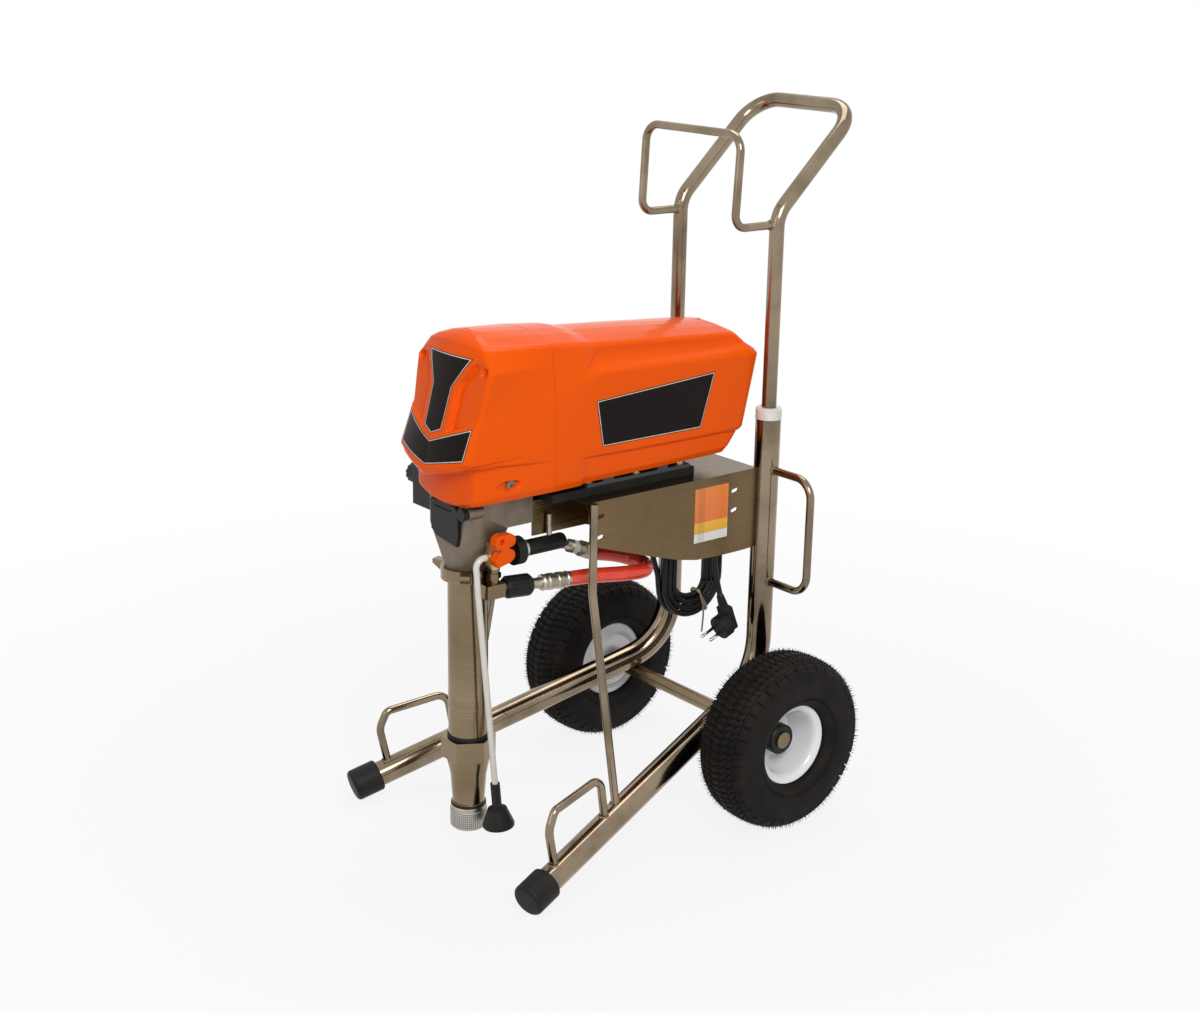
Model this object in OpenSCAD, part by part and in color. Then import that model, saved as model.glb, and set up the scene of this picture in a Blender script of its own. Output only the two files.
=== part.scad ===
// Airless paint sprayer on a two-wheel upright cart. Millimetres, +Z up, front towards -Y.
// The sub-parts are drawn with the plane of the two uprights as Y = 0 and are then set
// back by frame_shift, so that the middle of the machine's floor area is the origin.

/* [Cart frame] */
// Outer diameter of the main frame tube
tube_d = 38; // [30:1:45]
// Wall of the main frame tube
tube_wall = 2; // [1.5:0.5:4]
// Distance of each upright from the middle
upright_x = 105; // [100:1:120]
// Height of the top of the uprights
upright_top = 594; // [560:1:640]
// Bend radius where an upright runs into its leg
frame_bend_r = 95; // [80:1:110]
// Fall of the legs towards the feet, in degrees
leg_pitch = 16.35; // [15:0.05:18]
// Outward splay of the legs, in degrees
leg_splay = 12.6; // [10:0.1:14]
// Diameter of the welded rods: bails, hoops, struts and hose hook
rod_d = 12; // [8:1:14]
// Outer diameter of a rubber foot cap
foot_cap_d = 48; // [44:1:56]
// Length of a rubber foot cap
foot_cap_l = 44; // [36:1:60]

/* [Wheels] */
// Outer diameter of a tyre
tyre_d = 265; // [250:1:280]
// Width of a tyre
tyre_w = 90; // [80:1:96]
// Distance of each wheel's middle plane from the middle of the cart
wheel_x = 214; // [206:1:225]
// Diameter of the axle
axle_d = 22; // [18:1:26]
// Distance of the axle ahead of the uprights
axle_ahead = 54.5; // [50:0.5:60]
// Diameter of the rim's flange
rim_d = 123; // [116:1:130]

/* [Handle] */
// Outer diameter of the handle tube
handle_d = 22; // [18:1:26]
// Wall of the handle tube
handle_wall = 2; // [1:0.5:3]
// Height at which the handle bends backwards
handle_knee_z = 894; // [880:1:910]
// Height of the handle's top bar
handle_top_z = 1038; // [1020:1:1060]
// Distance of the top bar behind the uprights
handle_back = 152; // [130:1:170]
// Length of handle inside each upright
handle_insert = 130; // [90:1:150]
// Height of the hose hook's top rung
hook_top_z = 1009; // [990:1:1030]

/* [Mounting box] */
// Height of the top of the box
box_top = 521; // [515:1:526]
// Sheet thickness of the box
sheet = 2; // [1.5:0.5:3]
// Thickness of the pad under the motor
pad_t = 12; // [8:1:14]

/* [Motor and drive] */
// Diameter of the motor can
motor_d = 132; // [120:1:136]
// Wall of the motor can
motor_wall = 4; // [3:0.5:6]
// Height of the crankshaft's axis
crank_z = 620; // [618:1:622]
// Throw of the crank, half of the pump stroke
crank_throw = 30; // [24:1:31]
// Teeth of the crank gear
crank_teeth = 40; // [38:1:42]
// Teeth of the idler's small gear
idler_small_teeth = 12; // [11:1:13]
// Teeth of the idler's large gear
idler_large_teeth = 34; // [30:1:35]
// Teeth of the motor's pinion
pinion_teeth = 12; // [11:1:14]
// Module of the slow gear pair
slow_module = 2.5; // [2.2:0.1:2.6]
// Module of the fast gear pair
fast_module = 1.5; // [1.2:0.1:1.6]

/* [Pump] */
// Outer diameter of the pump cylinder
cylinder_d = 57; // [52:1:60]
// Bore of the pump cylinder
cylinder_bore = 40; // [36:1:44]
// Diameter of the displacement rod
pump_rod_d = 22; // [16:1:26]
// Width over flats of the intake hexagon
intake_hex = 68; // [60:1:72]
// Distance of the pump's axis ahead of the uprights
pump_ahead = 468; // [464:1:470]

/* [Fluid line] */
// Diameter of the whip hose
hose_d = 22; // [16:1:24]
// Diameter of the drain tube
drain_d = 9; // [6:1:10]
// Diameter of the filter sleeve
filter_d = 23; // [20:1:24]

/* [Covers and cord] */
// Wall of the moulded covers
cover_wall = 3; // [2:0.5:4]
// Gap of the seam between the front cover and the main shroud
seam_gap = 0.6; // [0.4:0.1:0.9]
// Diameter of the mains cord
cord_d = 8.5; // [7:0.5:9]

/* [Hidden] */
$fn = 64;

frame_shift = 189;  // from the uprights' plane to the middle of the floor area
weld_gap = 0.25;    // gap between two curved pieces that are welded together
run_gap = 0.06;     // radial clearance of a running or sliding fit
seat_gap = 0.3;     // gap between a piece and the curved or soft piece that carries it
tiny = 0.01;
lap = 0.3;          // how far a straight run of bent tube reaches over its elbow
swell = 0.01;       // and how much prouder it is there, inside and outside

// ---------- vectors and placing ----------
function unit(v) = v / norm(v);
function lerp(a, b, t) = a + (b - a) * t;

// Turns children so that their Z axis runs along dir, and moves them to p
module aim(p, dir) {
  z = unit(dir);
  hint = abs(z.z) > 0.9 ? [0, 1, 0] : [0, 0, 1];
  x = unit(cross(hint, z));
  y = cross(z, x);
  multmatrix([[x.x, y.x, z.x, p.x], [x.y, y.y, z.y, p.y], [x.z, y.z, z.z, p.z], [0, 0, 0, 1]])
    children();
}

// Round bar from p to q
module bar(p, q, d) {
  aim(p, q - p) cylinder(d = d, h = norm(q - p));
}

// Cylinder along X or along Y, from its start
module rod_x(p, d, len) {
  translate(p) rotate([0, 90, 0]) cylinder(d = d, h = len);
}
module rod_y(p, d, len) {
  translate(p) rotate([-90, 0, 0]) cylinder(d = d, h = len);
}

// Straight length of tube, solid when wall is 0
module tube_run(p, q, d, wall) {
  aim(p, q - p) difference() {
    cylinder(d = d, h = norm(q - p));
    if (wall > 0)
      translate([0, 0, -1]) cylinder(d = d - 2 * wall, h = norm(q - p) + 2);
  }
}

// Elbow between the directions u and v about the corner c, with the middle-line radius r
module elbow(c, u, v, r, d, wall) {
  angle = acos(max(-1, min(1, u * v)));
  centre = c + unit(v - u) * r / cos(angle / 2);
  x = unit(c - u * r * tan(angle / 2) - centre);
  z = cross(x, u);
  multmatrix([[x.x, u.x, z.x, centre.x], [x.y, u.y, z.y, centre.y],
              [x.z, u.z, z.z, centre.z], [0, 0, 0, 1]])
    rotate_extrude(angle = angle) translate([r, 0]) difference() {
      circle(d = d);
      if (wall > 0)
        circle(d = d - 2 * wall);
    }
}

// Tube or rod bent along the points p, with one middle-line radius at each inner point
module bent(p, radii, d, wall = 0) {
  last = len(p) - 1;
  dirs = [for (i = [0:last - 1]) unit(p[i + 1] - p[i])];
  trims = [for (i = [0:last])
    i == 0 || i == last ? 0 : radii[i - 1] * tan(acos(dirs[i - 1] * dirs[i]) / 2)];
  for (i = [0:last - 1])
    tube_run(p[i] + dirs[i] * (trims[i] - (i == 0 ? 0 : lap)),
             p[i + 1] - dirs[i] * (trims[i + 1] - (i == last - 1 ? 0 : lap)),
             d + 2 * swell, wall > 0 ? wall + 2 * swell : 0);
  for (i = [1:last - 1])
    elbow(p[i], dirs[i - 1], dirs[i], radii[i - 1], d, wall);
}

module both_sides() {
  children();
  mirror([1, 0, 0]) children();
}

// ---------- where the frame runs ----------
axle_z = tyre_d / 2;
axle_to_leg = (tube_d + axle_d) / 2 + weld_gap;
foot_round = 6;
foot_end = 5;
foot_z = (foot_cap_l / 2 - foot_round) * sin(leg_pitch)
       + (foot_cap_d / 2 - foot_round) * cos(leg_pitch) + foot_round;
leg_dir = [sin(leg_splay) * cos(leg_pitch), -cos(leg_splay) * cos(leg_pitch), -sin(leg_pitch)];
leg_slope = norm([leg_dir.y, leg_dir.z]);
// Height of the corner where upright and leg meet: the leg rests on the axle
corner_z = axle_z + (axle_to_leg * leg_slope - axle_ahead * leg_dir.z) / -leg_dir.y;
leg_l = (corner_z - foot_z) / sin(leg_pitch);
corner = [upright_x, 0, corner_z];
foot = corner + leg_dir * leg_l;
leg_tip = foot + leg_dir * (foot_cap_l / 2 - foot_end - 0.1);
leg_plan = [sin(leg_splay), -cos(leg_splay), 0];

// Point beside the leg: a is the level distance back from the foot, z the height
function at_leg(a, z) = [foot.x, foot.y, 0] - a * leg_plan + [0, 0, z];
function leg_top(a) = foot.z + a * tan(leg_pitch);

module leg_clearance() {
  bar(corner - leg_dir * 20, leg_tip, tube_d + 2 * weld_gap);
}
module upright_clearance() {
  translate([upright_x, 0, 0]) cylinder(d = tube_d + 2 * weld_gap, h = upright_top + 300);
}

// ---------- cart ----------
steel = [0.62, 0.60, 0.56];
black = [0.09, 0.09, 0.09];
orange = [0.95, 0.35, 0.06];

module frame_tube() {
  color(steel)
    bent([[upright_x, 0, upright_top], corner, leg_tip], [frame_bend_r], tube_d, tube_wall);
}
module frame_tube_left() {
  mirror([1, 0, 0]) frame_tube();
}
module frame_tube_right() {
  frame_tube();
}

hub_in = 46;       // from the wheel's middle plane in to the hub's inner face
hub_out = 7;       // and out to its outer face
axle_cap_d = 25;
axle_cap_t = 3;
axle_collar_d = 32;
axle_collar_t = 7;
axle_end = wheel_x + hub_out + seat_gap;

module axle() {
  color([0.66, 0.62, 0.52]) {
    rod_x([-axle_end, -axle_ahead, axle_z], axle_d, 2 * axle_end);
    both_sides() {
      rod_x([axle_end, -axle_ahead, axle_z], axle_cap_d, axle_cap_t);
      rod_x([wheel_x - hub_in - seat_gap - axle_collar_t, -axle_ahead, axle_z],
            axle_collar_d, axle_collar_t);
    }
  }
}

hoop_sink = 6;
module front_hoop() {
  // Rest for the front of the cart, bent from one rod and welded onto the leg
  difference() {
    bent([at_leg(38, leg_top(38) + hoop_sink), at_leg(24, 110), at_leg(36, 136),
          at_leg(134, 150), at_leg(147, leg_top(147) + hoop_sink)],
         [30, 12, 20], rod_d);
    leg_clearance();
  }
}
module front_hoops() {
  color(steel) both_sides() front_hoop();
}

strut_x = upright_x + sheet / 2 + rod_d / 2 + weld_gap;
strut_ahead = 334;
strut_bend_z = 391;
strut_foot_a = 173;
module strut() {
  low = at_leg(strut_foot_a, leg_top(strut_foot_a) + 4);
  difference() {
    bent([[strut_x, -strut_ahead, box_top], [strut_x, -strut_ahead, strut_bend_z], low],
         [40], rod_d);
    leg_clearance();
  }
}
module struts() {
  color(steel) both_sides() strut();
}

bail_top = 517;
bail_low = 343;
bail_reach = 200;
bail_r = 29;
module side_bail() {
  difference() {
    bent([[upright_x + 8, 0, bail_top], [bail_reach, 0, bail_top], [bail_reach, 0, bail_low],
          [upright_x + 8, 0, bail_low]], [bail_r, bail_r], rod_d);
    upright_clearance();
  }
}
module side_bails() {
  color(steel) both_sides() side_bail();
}

module foot_cap() {
  half = foot_cap_l / 2;
  r = foot_cap_d / 2;
  rr = foot_round;
  aim(foot, leg_dir) difference() {
    rotate_extrude() union() {
      translate([0, -half]) square([r - 1.5, 2 * half - rr]);
      translate([0, -half + 1.5]) square([r, 2 * half - rr - 1.5]);
      translate([0, half - rr - tiny]) square([r - rr, rr + tiny]);
      intersection() {
        translate([r - rr, half - rr]) circle(r = rr);
        translate([r - rr - tiny, half - rr - tiny]) square(rr + 1);
      }
    }
    translate([0, 0, -half - 1]) cylinder(d = tube_d + 2 * run_gap, h = 2 * half + 1 - foot_end);
  }
}
module foot_caps() {
  color(black) both_sides() foot_cap();
}

collar_h = 17;
collar_d = tube_d + 1;
collar_spigot = 50;
handle_bore = handle_d + 2 * run_gap;
module handle_collar() {
  translate([upright_x, 0, upright_top]) difference() {
    union() {
      cylinder(d = collar_d, h = collar_h - 2);
      translate([0, 0, collar_h - 2]) cylinder(d1 = collar_d, d2 = collar_d - 4, h = 2);
      translate([0, 0, -collar_spigot])
        cylinder(d = tube_d - 2 * tube_wall - 2 * run_gap, h = collar_spigot + 1);
    }
    translate([0, 0, -collar_spigot - 1]) cylinder(d = handle_bore, h = collar_spigot + collar_h + 2);
  }
}
module handle_collars() {
  color([0.92, 0.92, 0.88]) both_sides() handle_collar();
}

// ---------- where the drive sits, in distances ahead of the uprights ----------
pump_y = -pump_ahead;
house_front = pump_ahead + 32;
wall_front = pump_ahead - 53;    // front of the wall that carries crankshaft and idler
wall_back = wall_front - 20;
house_back = wall_back - 6;
neck_back = pump_ahead - 36;
well_front = pump_ahead + 24;    // the rod's well
well_back = pump_ahead - 22;
slow_gear_y = pump_y + 28;       // front of the slow gear pair
slow_gear_w = 20;
web_y = slow_gear_y - 12;        // front of the crank's web
fast_gear_y = -wall_back + 5;    // front of the fast gear pair
motor_front = wall_back - 65;
motor_back = 110;

// ---------- mounting box ----------
hook_bar = 8;
box_front = 341;       // ahead of the uprights, at the top
box_nose = 325;        // ahead, at the lower front corner
box_back = tube_d / 2 + weld_gap;
slot_l = 13;
slot_w = 6;
slots = [[-63, 493], [-63, 463], [-317, 468], [-317, 499]];
flange_edge = [[-box_front, box_top], [-box_nose, 455], [-224, 422], [-170, 406], [-135, 399],
               [-87, 397], [-50, 397], [-box_back, 398], [-box_back, box_top]];

// A flat plate cut to the outline pts in the Y-Z plane, from x outwards by t
module plate_yz(pts, x, t) {
  translate([x, 0, 0]) multmatrix([[0, 0, 1, 0], [1, 0, 0, 0], [0, 1, 0, 0], [0, 0, 0, 1]])
    linear_extrude(t) polygon(pts);
}
module slot_cut(y, z, tilt) {
  translate([0, y, z]) rotate([tilt, 0, 0]) {
    translate([0, -slot_l / 2 + slot_w / 2, -slot_w / 2])
      cube([400, slot_l - slot_w, slot_w]);
    for (e = [-1, 1])
      rod_x([0, e * (slot_l - slot_w) / 2, 0], slot_w, 400);
  }
}
module mounting_box() {
  outer = upright_x + sheet / 2;
  color([0.60, 0.56, 0.50]) difference() {
    union() {
      both_sides() plate_yz(flange_edge, outer - sheet, sheet);
      translate([-outer, -box_front, box_top - sheet])
        cube([2 * outer, box_front - box_back, sheet]);
      // Rear lip folded down between the uprights
      translate([-upright_x + tube_d / 2 + 4, -box_back - sheet, box_top - 30])
        cube([2 * upright_x - tube_d - 8, sheet, 30]);
    }
    both_sides() for (s = slots)
      slot_cut(s.x, s.y, 12);
    both_sides() for (b = base_bolt_at)
      translate([b.x, b.y, box_top - sheet - 1]) cylinder(d = base_bolt_d + 1, h = sheet + 2);
  }
}

module cord_hook() {
  // Carries the hank of cord under the top of the box
  color(steel) {
    bent([[8, coil_y, box_top - sheet - 3], [8, coil_y, hook_bar_z], [60, coil_y, hook_bar_z],
          [60, coil_y, hook_bar_z + 18]], [9, 9], hook_bar);
    translate([8, coil_y, box_top - sheet - 3]) cylinder(d = 22, h = 3);
  }
}

channel_w = 90;
channel_front = house_back;   // it ends under the drive housing's back
channel_back = 290;
channel_low = 468;
channel_t = 3;
module support_channel() {
  top = box_top - sheet;
  len = channel_front - channel_back;
  color([0.55, 0.52, 0.46]) difference() {
    translate([-channel_w / 2, -channel_front, channel_low]) cube([channel_w, len, top - channel_low]);
    translate([-channel_w / 2 + channel_t, -channel_front - 1, channel_low - 1])
      cube([channel_w - 2 * channel_t, len + 2, top - channel_low + 1 - channel_t]);
  }
}

pad_x = 78;
pad_front = house_back - 9;
pad_back = 120;
pad_top = box_top + pad_t;
base_bolt_d = 8;
base_bolt_at = [[66, -310], [66, -223], [66, -140]];
module motor_pad() {
  color(black) difference() {
    translate([-pad_x, -pad_front, box_top]) cube([2 * pad_x, pad_front - pad_back, pad_t]);
    both_sides() for (b = base_bolt_at)
      translate([b.x, b.y, box_top - 1]) cylinder(d = base_bolt_d + 1, h = pad_t + 2);
    translate([-channel_w / 2 - 1, -pad_front + 10, box_top + 3])
      cube([channel_w + 2, pad_front - pad_back - 20, pad_t]);
  }
}

foot_t = 5;
module hex_bolt(grip, d) {
  // Head above the origin, shank and nut below
  cylinder(d = 2 * d, h = 0.2 * d);
  translate([0, 0, 0.2 * d]) cylinder(d = 1.85 * d, h = 0.6 * d, $fn = 6);
  translate([0, 0, -grip - 8]) cylinder(d = d, h = grip + 8 + tiny);
  translate([0, 0, -grip - 0.8 * d]) cylinder(d = 1.85 * d, h = 0.8 * d, $fn = 6);
}
clamp_screw_y = -channel_front + 25;
module base_bolts() {
  color([0.7, 0.7, 0.68]) both_sides() {
    for (b = base_bolt_at)
      translate([b.x, b.y, pad_top + foot_t])
        hex_bolt(foot_t + pad_t + sheet, base_bolt_d);
    // Clamp screw with a tapered washer under the channel's flange
    translate([channel_w / 2 + 4.8, clamp_screw_y, 467]) {
      cylinder(d = 8, h = 30);
      translate([0, 0, 16]) cylinder(d1 = 9, d2 = 8, h = 4);
    }
  }
}

// ---------- gears ----------
gear_press = 20;
function involute(a) = tan(a) * 180 / PI - a;
// Half-width of a tooth at radius r, as an angle
function tooth_half(m, n, r, slack) =
  90 / n - slack * 180 / (PI * m * n / 2) / 2 + involute(gear_press)
  - involute(acos(min(1, m * n / 2 * cos(gear_press) / r)));
function gear_outline(m, n, slack) = [for (i = [0:n - 1])
  let (r_base = m * n / 2 * cos(gear_press), r_root = m * (n / 2 - 1.2), r_tip = m * (n / 2 + 0.85))
  for (s = [-1, 1])
    for (k = [0:3])
      let (f = s < 0 ? k / 3 : 1 - k / 3, r = r_root + f * (r_tip - r_root),
           a = 360 * i / n + s * tooth_half(m, n, max(r, r_base), slack))
        r * [cos(a), sin(a)]];
gear_slack = 0.35;
// Spur gear along +Y from p, with a tooth (or with gap = 1 a gap) towards the angle at
module spur(p, m, n, w, at, gap = 0) {
  translate(p) rotate([-90, 0, 0]) rotate(at + gap * 180 / n)
    linear_extrude(w) polygon(gear_outline(m, n, gear_slack));
}
up = -90;
down = 90;

// ---------- motor ----------
slow_centres = slow_module * (crank_teeth + idler_small_teeth) / 2;
fast_centres = fast_module * (pinion_teeth + idler_large_teeth) / 2;
idler_z = crank_z + slow_centres;
motor_z = idler_z - fast_centres;
magnet_t = 8;
air_gap = 1;
rotor_d = motor_d - 2 * (motor_wall + magnet_t + air_gap);
shaft_d = 17;
bearing_d = 35;
bearing_w = 11;

module motor_can() {
  color([0.45, 0.46, 0.48]) difference() {
    union() {
      rod_y([0, -motor_front, motor_z], motor_d, motor_front - motor_back);
      // Feet
      translate([-pad_x + 1, -318, pad_top]) cube([2 * pad_x - 2, 190, foot_t]);
      for (y = [-300, -150])
        translate([-40, y, pad_top]) cube([80, 12, 70]);
      // Ears that locate the shroud
      both_sides() for (y = [-290, -190]) {
        translate([pad_x - 8, y, pad_top]) cube([7, 20, 38]);
        translate([pad_x - 8, y, pad_top + 22]) cube([shroud_in - pad_x + 8 - seat_gap, 20, 16]);
      }
    }
    rod_y([0, -motor_front - 1, motor_z], motor_d - 2 * motor_wall, motor_front - motor_back + 2);
    both_sides() for (b = base_bolt_at)
      translate([b.x, b.y, pad_top - 1]) cylinder(d = base_bolt_d + 1, h = foot_t + 2);
  }
}
module motor_magnets() {
  outer = motor_d / 2 - motor_wall;
  color([0.25, 0.25, 0.27]) for (k = [0:3])
    translate([0, -300, motor_z]) rotate([-90, 0, 0]) rotate(90 * k + 8)
      rotate_extrude(angle = 74) translate([outer - magnet_t, 0]) square([magnet_t, 150]);
}
bell_t = 10;
bell_l = 26;
module motor_end_bell() {
  color([0.5, 0.5, 0.52]) difference() {
    rod_y([0, -motor_back, motor_z], motor_d, bell_l);
    rod_y([0, -motor_back - 1, motor_z], motor_d - 2 * motor_wall, bell_l - bell_t + 1);
    rod_y([0, -motor_back, motor_z], shaft_d + 4, bell_l + 1);
    rod_y([0, -motor_back, motor_z], bearing_d + 2 * run_gap, bell_l - bell_t + 7);
    for (k = [0:7])
      translate([0, -motor_back, motor_z]) rotate([0, 45 * k, 0])
        rod_y([44, 10, 0], 14, bell_l);
  }
}
rear_bearing_y = -motor_back + bell_l - bell_t + 7 - bearing_w;
plate_y = -wall_back + 22;          // front of the plate that carries the rotor's bearing
front_bearing_y = plate_y + 1;
crank_bearing_y = -wall_front + 1;
crank_bearing_d = 47;
journal_d = 25;
idler_shaft_d = 12;
idler_bearing_d = 28;
module ring_y(p, outer, inner, w) {
  difference() {
    rod_y(p, outer, w);
    rod_y(p - [0, 1, 0], inner, w + 2);
  }
}
module shaft_bearings() {
  color([0.75, 0.76, 0.78]) {
    ring_y([0, rear_bearing_y, motor_z], bearing_d, shaft_d + 2 * run_gap, bearing_w);
    ring_y([0, front_bearing_y, motor_z], bearing_d, shaft_d + 2 * run_gap, bearing_w);
    ring_y([0, crank_bearing_y, crank_z], crank_bearing_d, journal_d + 2 * run_gap, 12);
    ring_y([0, crank_bearing_y, idler_z], idler_bearing_d, idler_shaft_d + 2 * run_gap, 12);
  }
}

// ---------- drive housing ----------
house_w = 90;
case_r = 62;
case_bore = 56;
neck_low = 430;
neck_r = 32;
neck_bore = 52.4;
neck_bore_top = 450;
idler_case_r = 32;
boss_y = pump_y + 20;
boss_z = 558;
boss_d = 16;
well_low = 470;

module drive_housing() {
  color([0.62, 0.61, 0.58]) difference() {
    union() {
      rod_y([0, -house_front, crank_z], 2 * case_r, house_front - wall_back);
      rod_y([0, -house_front + 8, idler_z], 2 * idler_case_r, house_front - 8 - wall_back);
      translate([-house_w / 2, -house_front, 488]) cube([house_w, house_front - house_back, 110]);
      hull() {
        translate([-house_w / 2, -house_front, 487]) cube([house_w, house_front - neck_back, 2]);
        translate([0, pump_y, neck_low]) cylinder(r = neck_r, h = 4, $fn = 48);
      }
      rod_y([0, -wall_back, motor_z], motor_d, wall_back - motor_front);
      both_sides() rod_x([0, boss_y, boss_z], boss_d, boss_reach);
      rod_y([switch_x, -house_front, switch_z], switch_d + 1, 24);
    }
    // Crank chamber, idler chamber and the rod's well
    rod_y([0, -house_front + 8, crank_z], 2 * case_bore, house_front - 8 - wall_front);
    rod_y([0, -well_back, idler_z], 46, well_back - wall_front);
    translate([-30, -well_front, well_low]) cube([60, well_front - well_back, crank_z - well_low]);
    translate([0, pump_y, neck_low - 1]) cylinder(d = neck_bore, h = neck_bore_top - neck_low + 1);
    translate([0, pump_y, neck_low]) cylinder(d = pump_rod_d + 8, h = 60);
    // Window behind the rod cover
    translate([-22, -house_front - 1, 476]) cube([44, 12, 44]);
    // Crank and idler bearings, each against a shoulder at its back
    rod_y([0, -wall_front - 1, crank_z], crank_bearing_d + 2 * run_gap, 14);
    rod_y([0, -wall_front - 1, crank_z], journal_d + 3, 18);
    rod_y([0, -wall_front - 1, idler_z], idler_bearing_d + 2 * run_gap, 14);
    rod_y([0, -wall_front - 1, idler_z], idler_shaft_d + 4, 30);
    // Fast gear chamber, bearing plate and motor register
    rod_y([0, -wall_back, motor_z], motor_d - 2 * motor_wall, wall_back + plate_y + 1);
    rod_y([0, plate_y, motor_z], bearing_d + 2 * run_gap, 12);
    rod_y([0, plate_y, motor_z], shaft_d + 6, 20);
    rod_y([0, plate_y + 15, motor_z], motor_d - 2 * motor_wall, -plate_y - 15 - motor_front + 1);
    // Holes for the cover's screws and the switch
    both_sides() rod_x([boss_reach - 14, boss_y, boss_z], 4.4, 20);
    rod_y([switch_x, -house_front - 1, switch_z], switch_shank_d + 2 * run_gap, 20);
  }
}
module rod_cover() {
  color(black) difference() {
    translate([0, -house_front, 0]) rotate([90, 0, 0]) linear_extrude(6)
      polygon([[-35, 525], [24, 525], [31, 515], [31, 484], [27, 469], [-20, 474], [-33, 482]]);
    translate([-24, -house_front - 7, 516]) cube([40, 3, 2]);
  }
}

// ---------- moulded covers ----------
cover_seam = wall_back - 10;   // ahead of the uprights
shroud_in = 88.6 - cover_wall;
chin_seam = [91, -cover_seam];
chin_corner = [70, -house_front - 4];
// Distance from the middle to the outside of the chin's side at y
function chin_x(y) = lerp(chin_seam.x, chin_corner.x, (y - chin_seam.y) / (chin_corner.y - chin_seam.y));
boss_reach = chin_x(boss_y - boss_d / 2) - cover_wall * 1.02 - seat_gap;

// Each level of a cover is one contour seen from above:
// [points of the right side from the seam to the corner], corner radius, [y, z] at the middle
// of the end face, and how far the end face dips there like a V (1) or a curve (2).
// On the front cover y counts from the drive housing's front
front_levels = [
  [[[86, 541], [66, 534]], 0, 14, [-7, 526], 2],
  [[[91, 552], [70, 541]], -4, 14, [-13, 532], 2],
  [[[91.5, 584], [71, 584]], -4, 14, [-13, 568], 1],
  [[[91.5, 588], [81, 592]], -22, 10, [-38, 569], 1],
  [[[91.5, 594], [82, 600]], -24, 10, [-41, 577], 1],
  [[[90, 671], [80, 657]], -3, 10, [-19, 655], 1],
  [[[84, 717], [88, 718]], 11, 12, [-1, 720], 2],
  [[[80, 741], [68, 744]], 16, 16, [9, 750], 2],
  [[[74, 746], [60, 750]], 22, 16, [16, 757], 2],
  [[[45, 753], [40, 757]], 30, 16, [26, 762], 2],
  [[[20, 756.5], [18, 762]], 34, 10, [32, 763], 2]
];
side_steps = 5;
corner_steps = 4;
face_steps = 5;

function bezier(a, b, c, t) = lerp(lerp(a, b, t), lerp(b, c, t), t);

// Half of one contour, from the seam round the corner to the middle of the end face
function half_contour(side, r, mid, power) =
  let (n = len(side), corner_pt = side[n - 1], before = side[n - 2],
       back = corner_pt + unit(before - corner_pt) * r,
       face = function (x) [x, lerp(mid[0], corner_pt.y, pow(x / corner_pt.x, 2)),
                            lerp(mid[1], corner_pt.z, pow(x / corner_pt.x, power))],
       front = face(corner_pt.x - r))
  concat(
    [for (i = [0:n - 2]) side[i]],
    n == 2 ? [for (k = [1:side_steps - 1]) lerp(side[0], back, k / side_steps)] : [],
    [for (k = [0:corner_steps]) bezier(back, corner_pt, front, k / corner_steps)],
    [for (k = [1:face_steps]) face((corner_pt.x - r) * (1 - k / face_steps))]
  );
function whole_contour(half) =
  concat(half, [for (k = [len(half) - 2:-1:0]) [-half[k].x, half[k].y, half[k].z]]);

front_grid = [for (v = front_levels)
  whole_contour(half_contour(
    [[v[0][0].x, -cover_seam - seam_gap / 2, v[0][0].y], [v[0][1].x, v[1] - house_front, v[0][1].y]],
    v[2], v[3] - [house_front, 0], v[4]))];

// Main shroud: places along its side, and for each level the width and height there
shroud_y = [-cover_seam, -332, -306, -202];
shroud_levels = [
  [[86, 86, 85, 85], [541, 542, 543, 544], [83, -60, 546], 14, [-59, 546]],
  [[91, 91, 89, 89], [552, 553, 552, 553], [88, -54, 556], 14, [-52, 556]],
  [[91.5, 91.5, 89, 89], [576, 577, 578, 578], [88, -36, 579], 14, [-33, 579]],
  [[91.5, 91.5, 92, 92], [582, 583, 583, 583], [91, -33, 584], 14, [-30, 584]],
  [[90, 90, 90.5, 90.5], [671, 688, 697, 695], [90, -7, 690], 14, [-4, 690]],
  [[87, 86, 85, 85], [694, 702, 706, 703], [84, -11, 697], 12, [-8, 697]],
  [[84, 82, 76, 76], [717, 719, 720, 715], [75, -21, 705], 12, [-18, 705]],
  [[80, 77, 72, 72], [741, 736, 732, 726], [71, -32, 716], 12, [-29, 717]],
  [[74, 71, 67, 67], [746, 741, 737, 731], [66, -38, 721], 12, [-35, 723]],
  [[45, 44, 42, 42], [753, 749, 743, 737], [41, -45, 727], 10, [-43, 729]],
  [[20, 20, 20, 20], [756.5, 753, 747, 741], [19, -52, 730], 8, [-50, 731.5]]
];
shroud_grid = [for (v = shroud_levels)
  whole_contour(half_contour(
    concat([for (k = [0:3]) [v[0][k], shroud_y[k] + (k == 0 ? seam_gap / 2 : 0), v[1][k]]], [v[2]]),
    v[3], v[4], 2))];

// Outward normals of a grid of levels, taken from the neighbours of each point
function grid_normal(g, i, j, s) =
  let (rows = len(g) - 1, cols = len(g[0]) - 1,
       a = g[i][min(j + 1, cols)] - g[i][max(j - 1, 0)],
       b = g[min(i + 1, rows)][j] - g[max(i - 1, 0)][j])
  s * unit(cross(a, b));

// Inner skin: the edge stays level at the bottom, and square to the seam
function inner_grid(g, t, s) = [for (i = [0:len(g) - 1])
  [for (j = [0:len(g[0]) - 1])
    let (n = grid_normal(g, i, j, s), edge = j == 0 || j == len(g[0]) - 1,
         flat = i == 0 ? [n.x, n.y, 0] : edge ? [n.x, 0, n.z] : n)
    g[i][j] - t * unit(flat)]];

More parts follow.
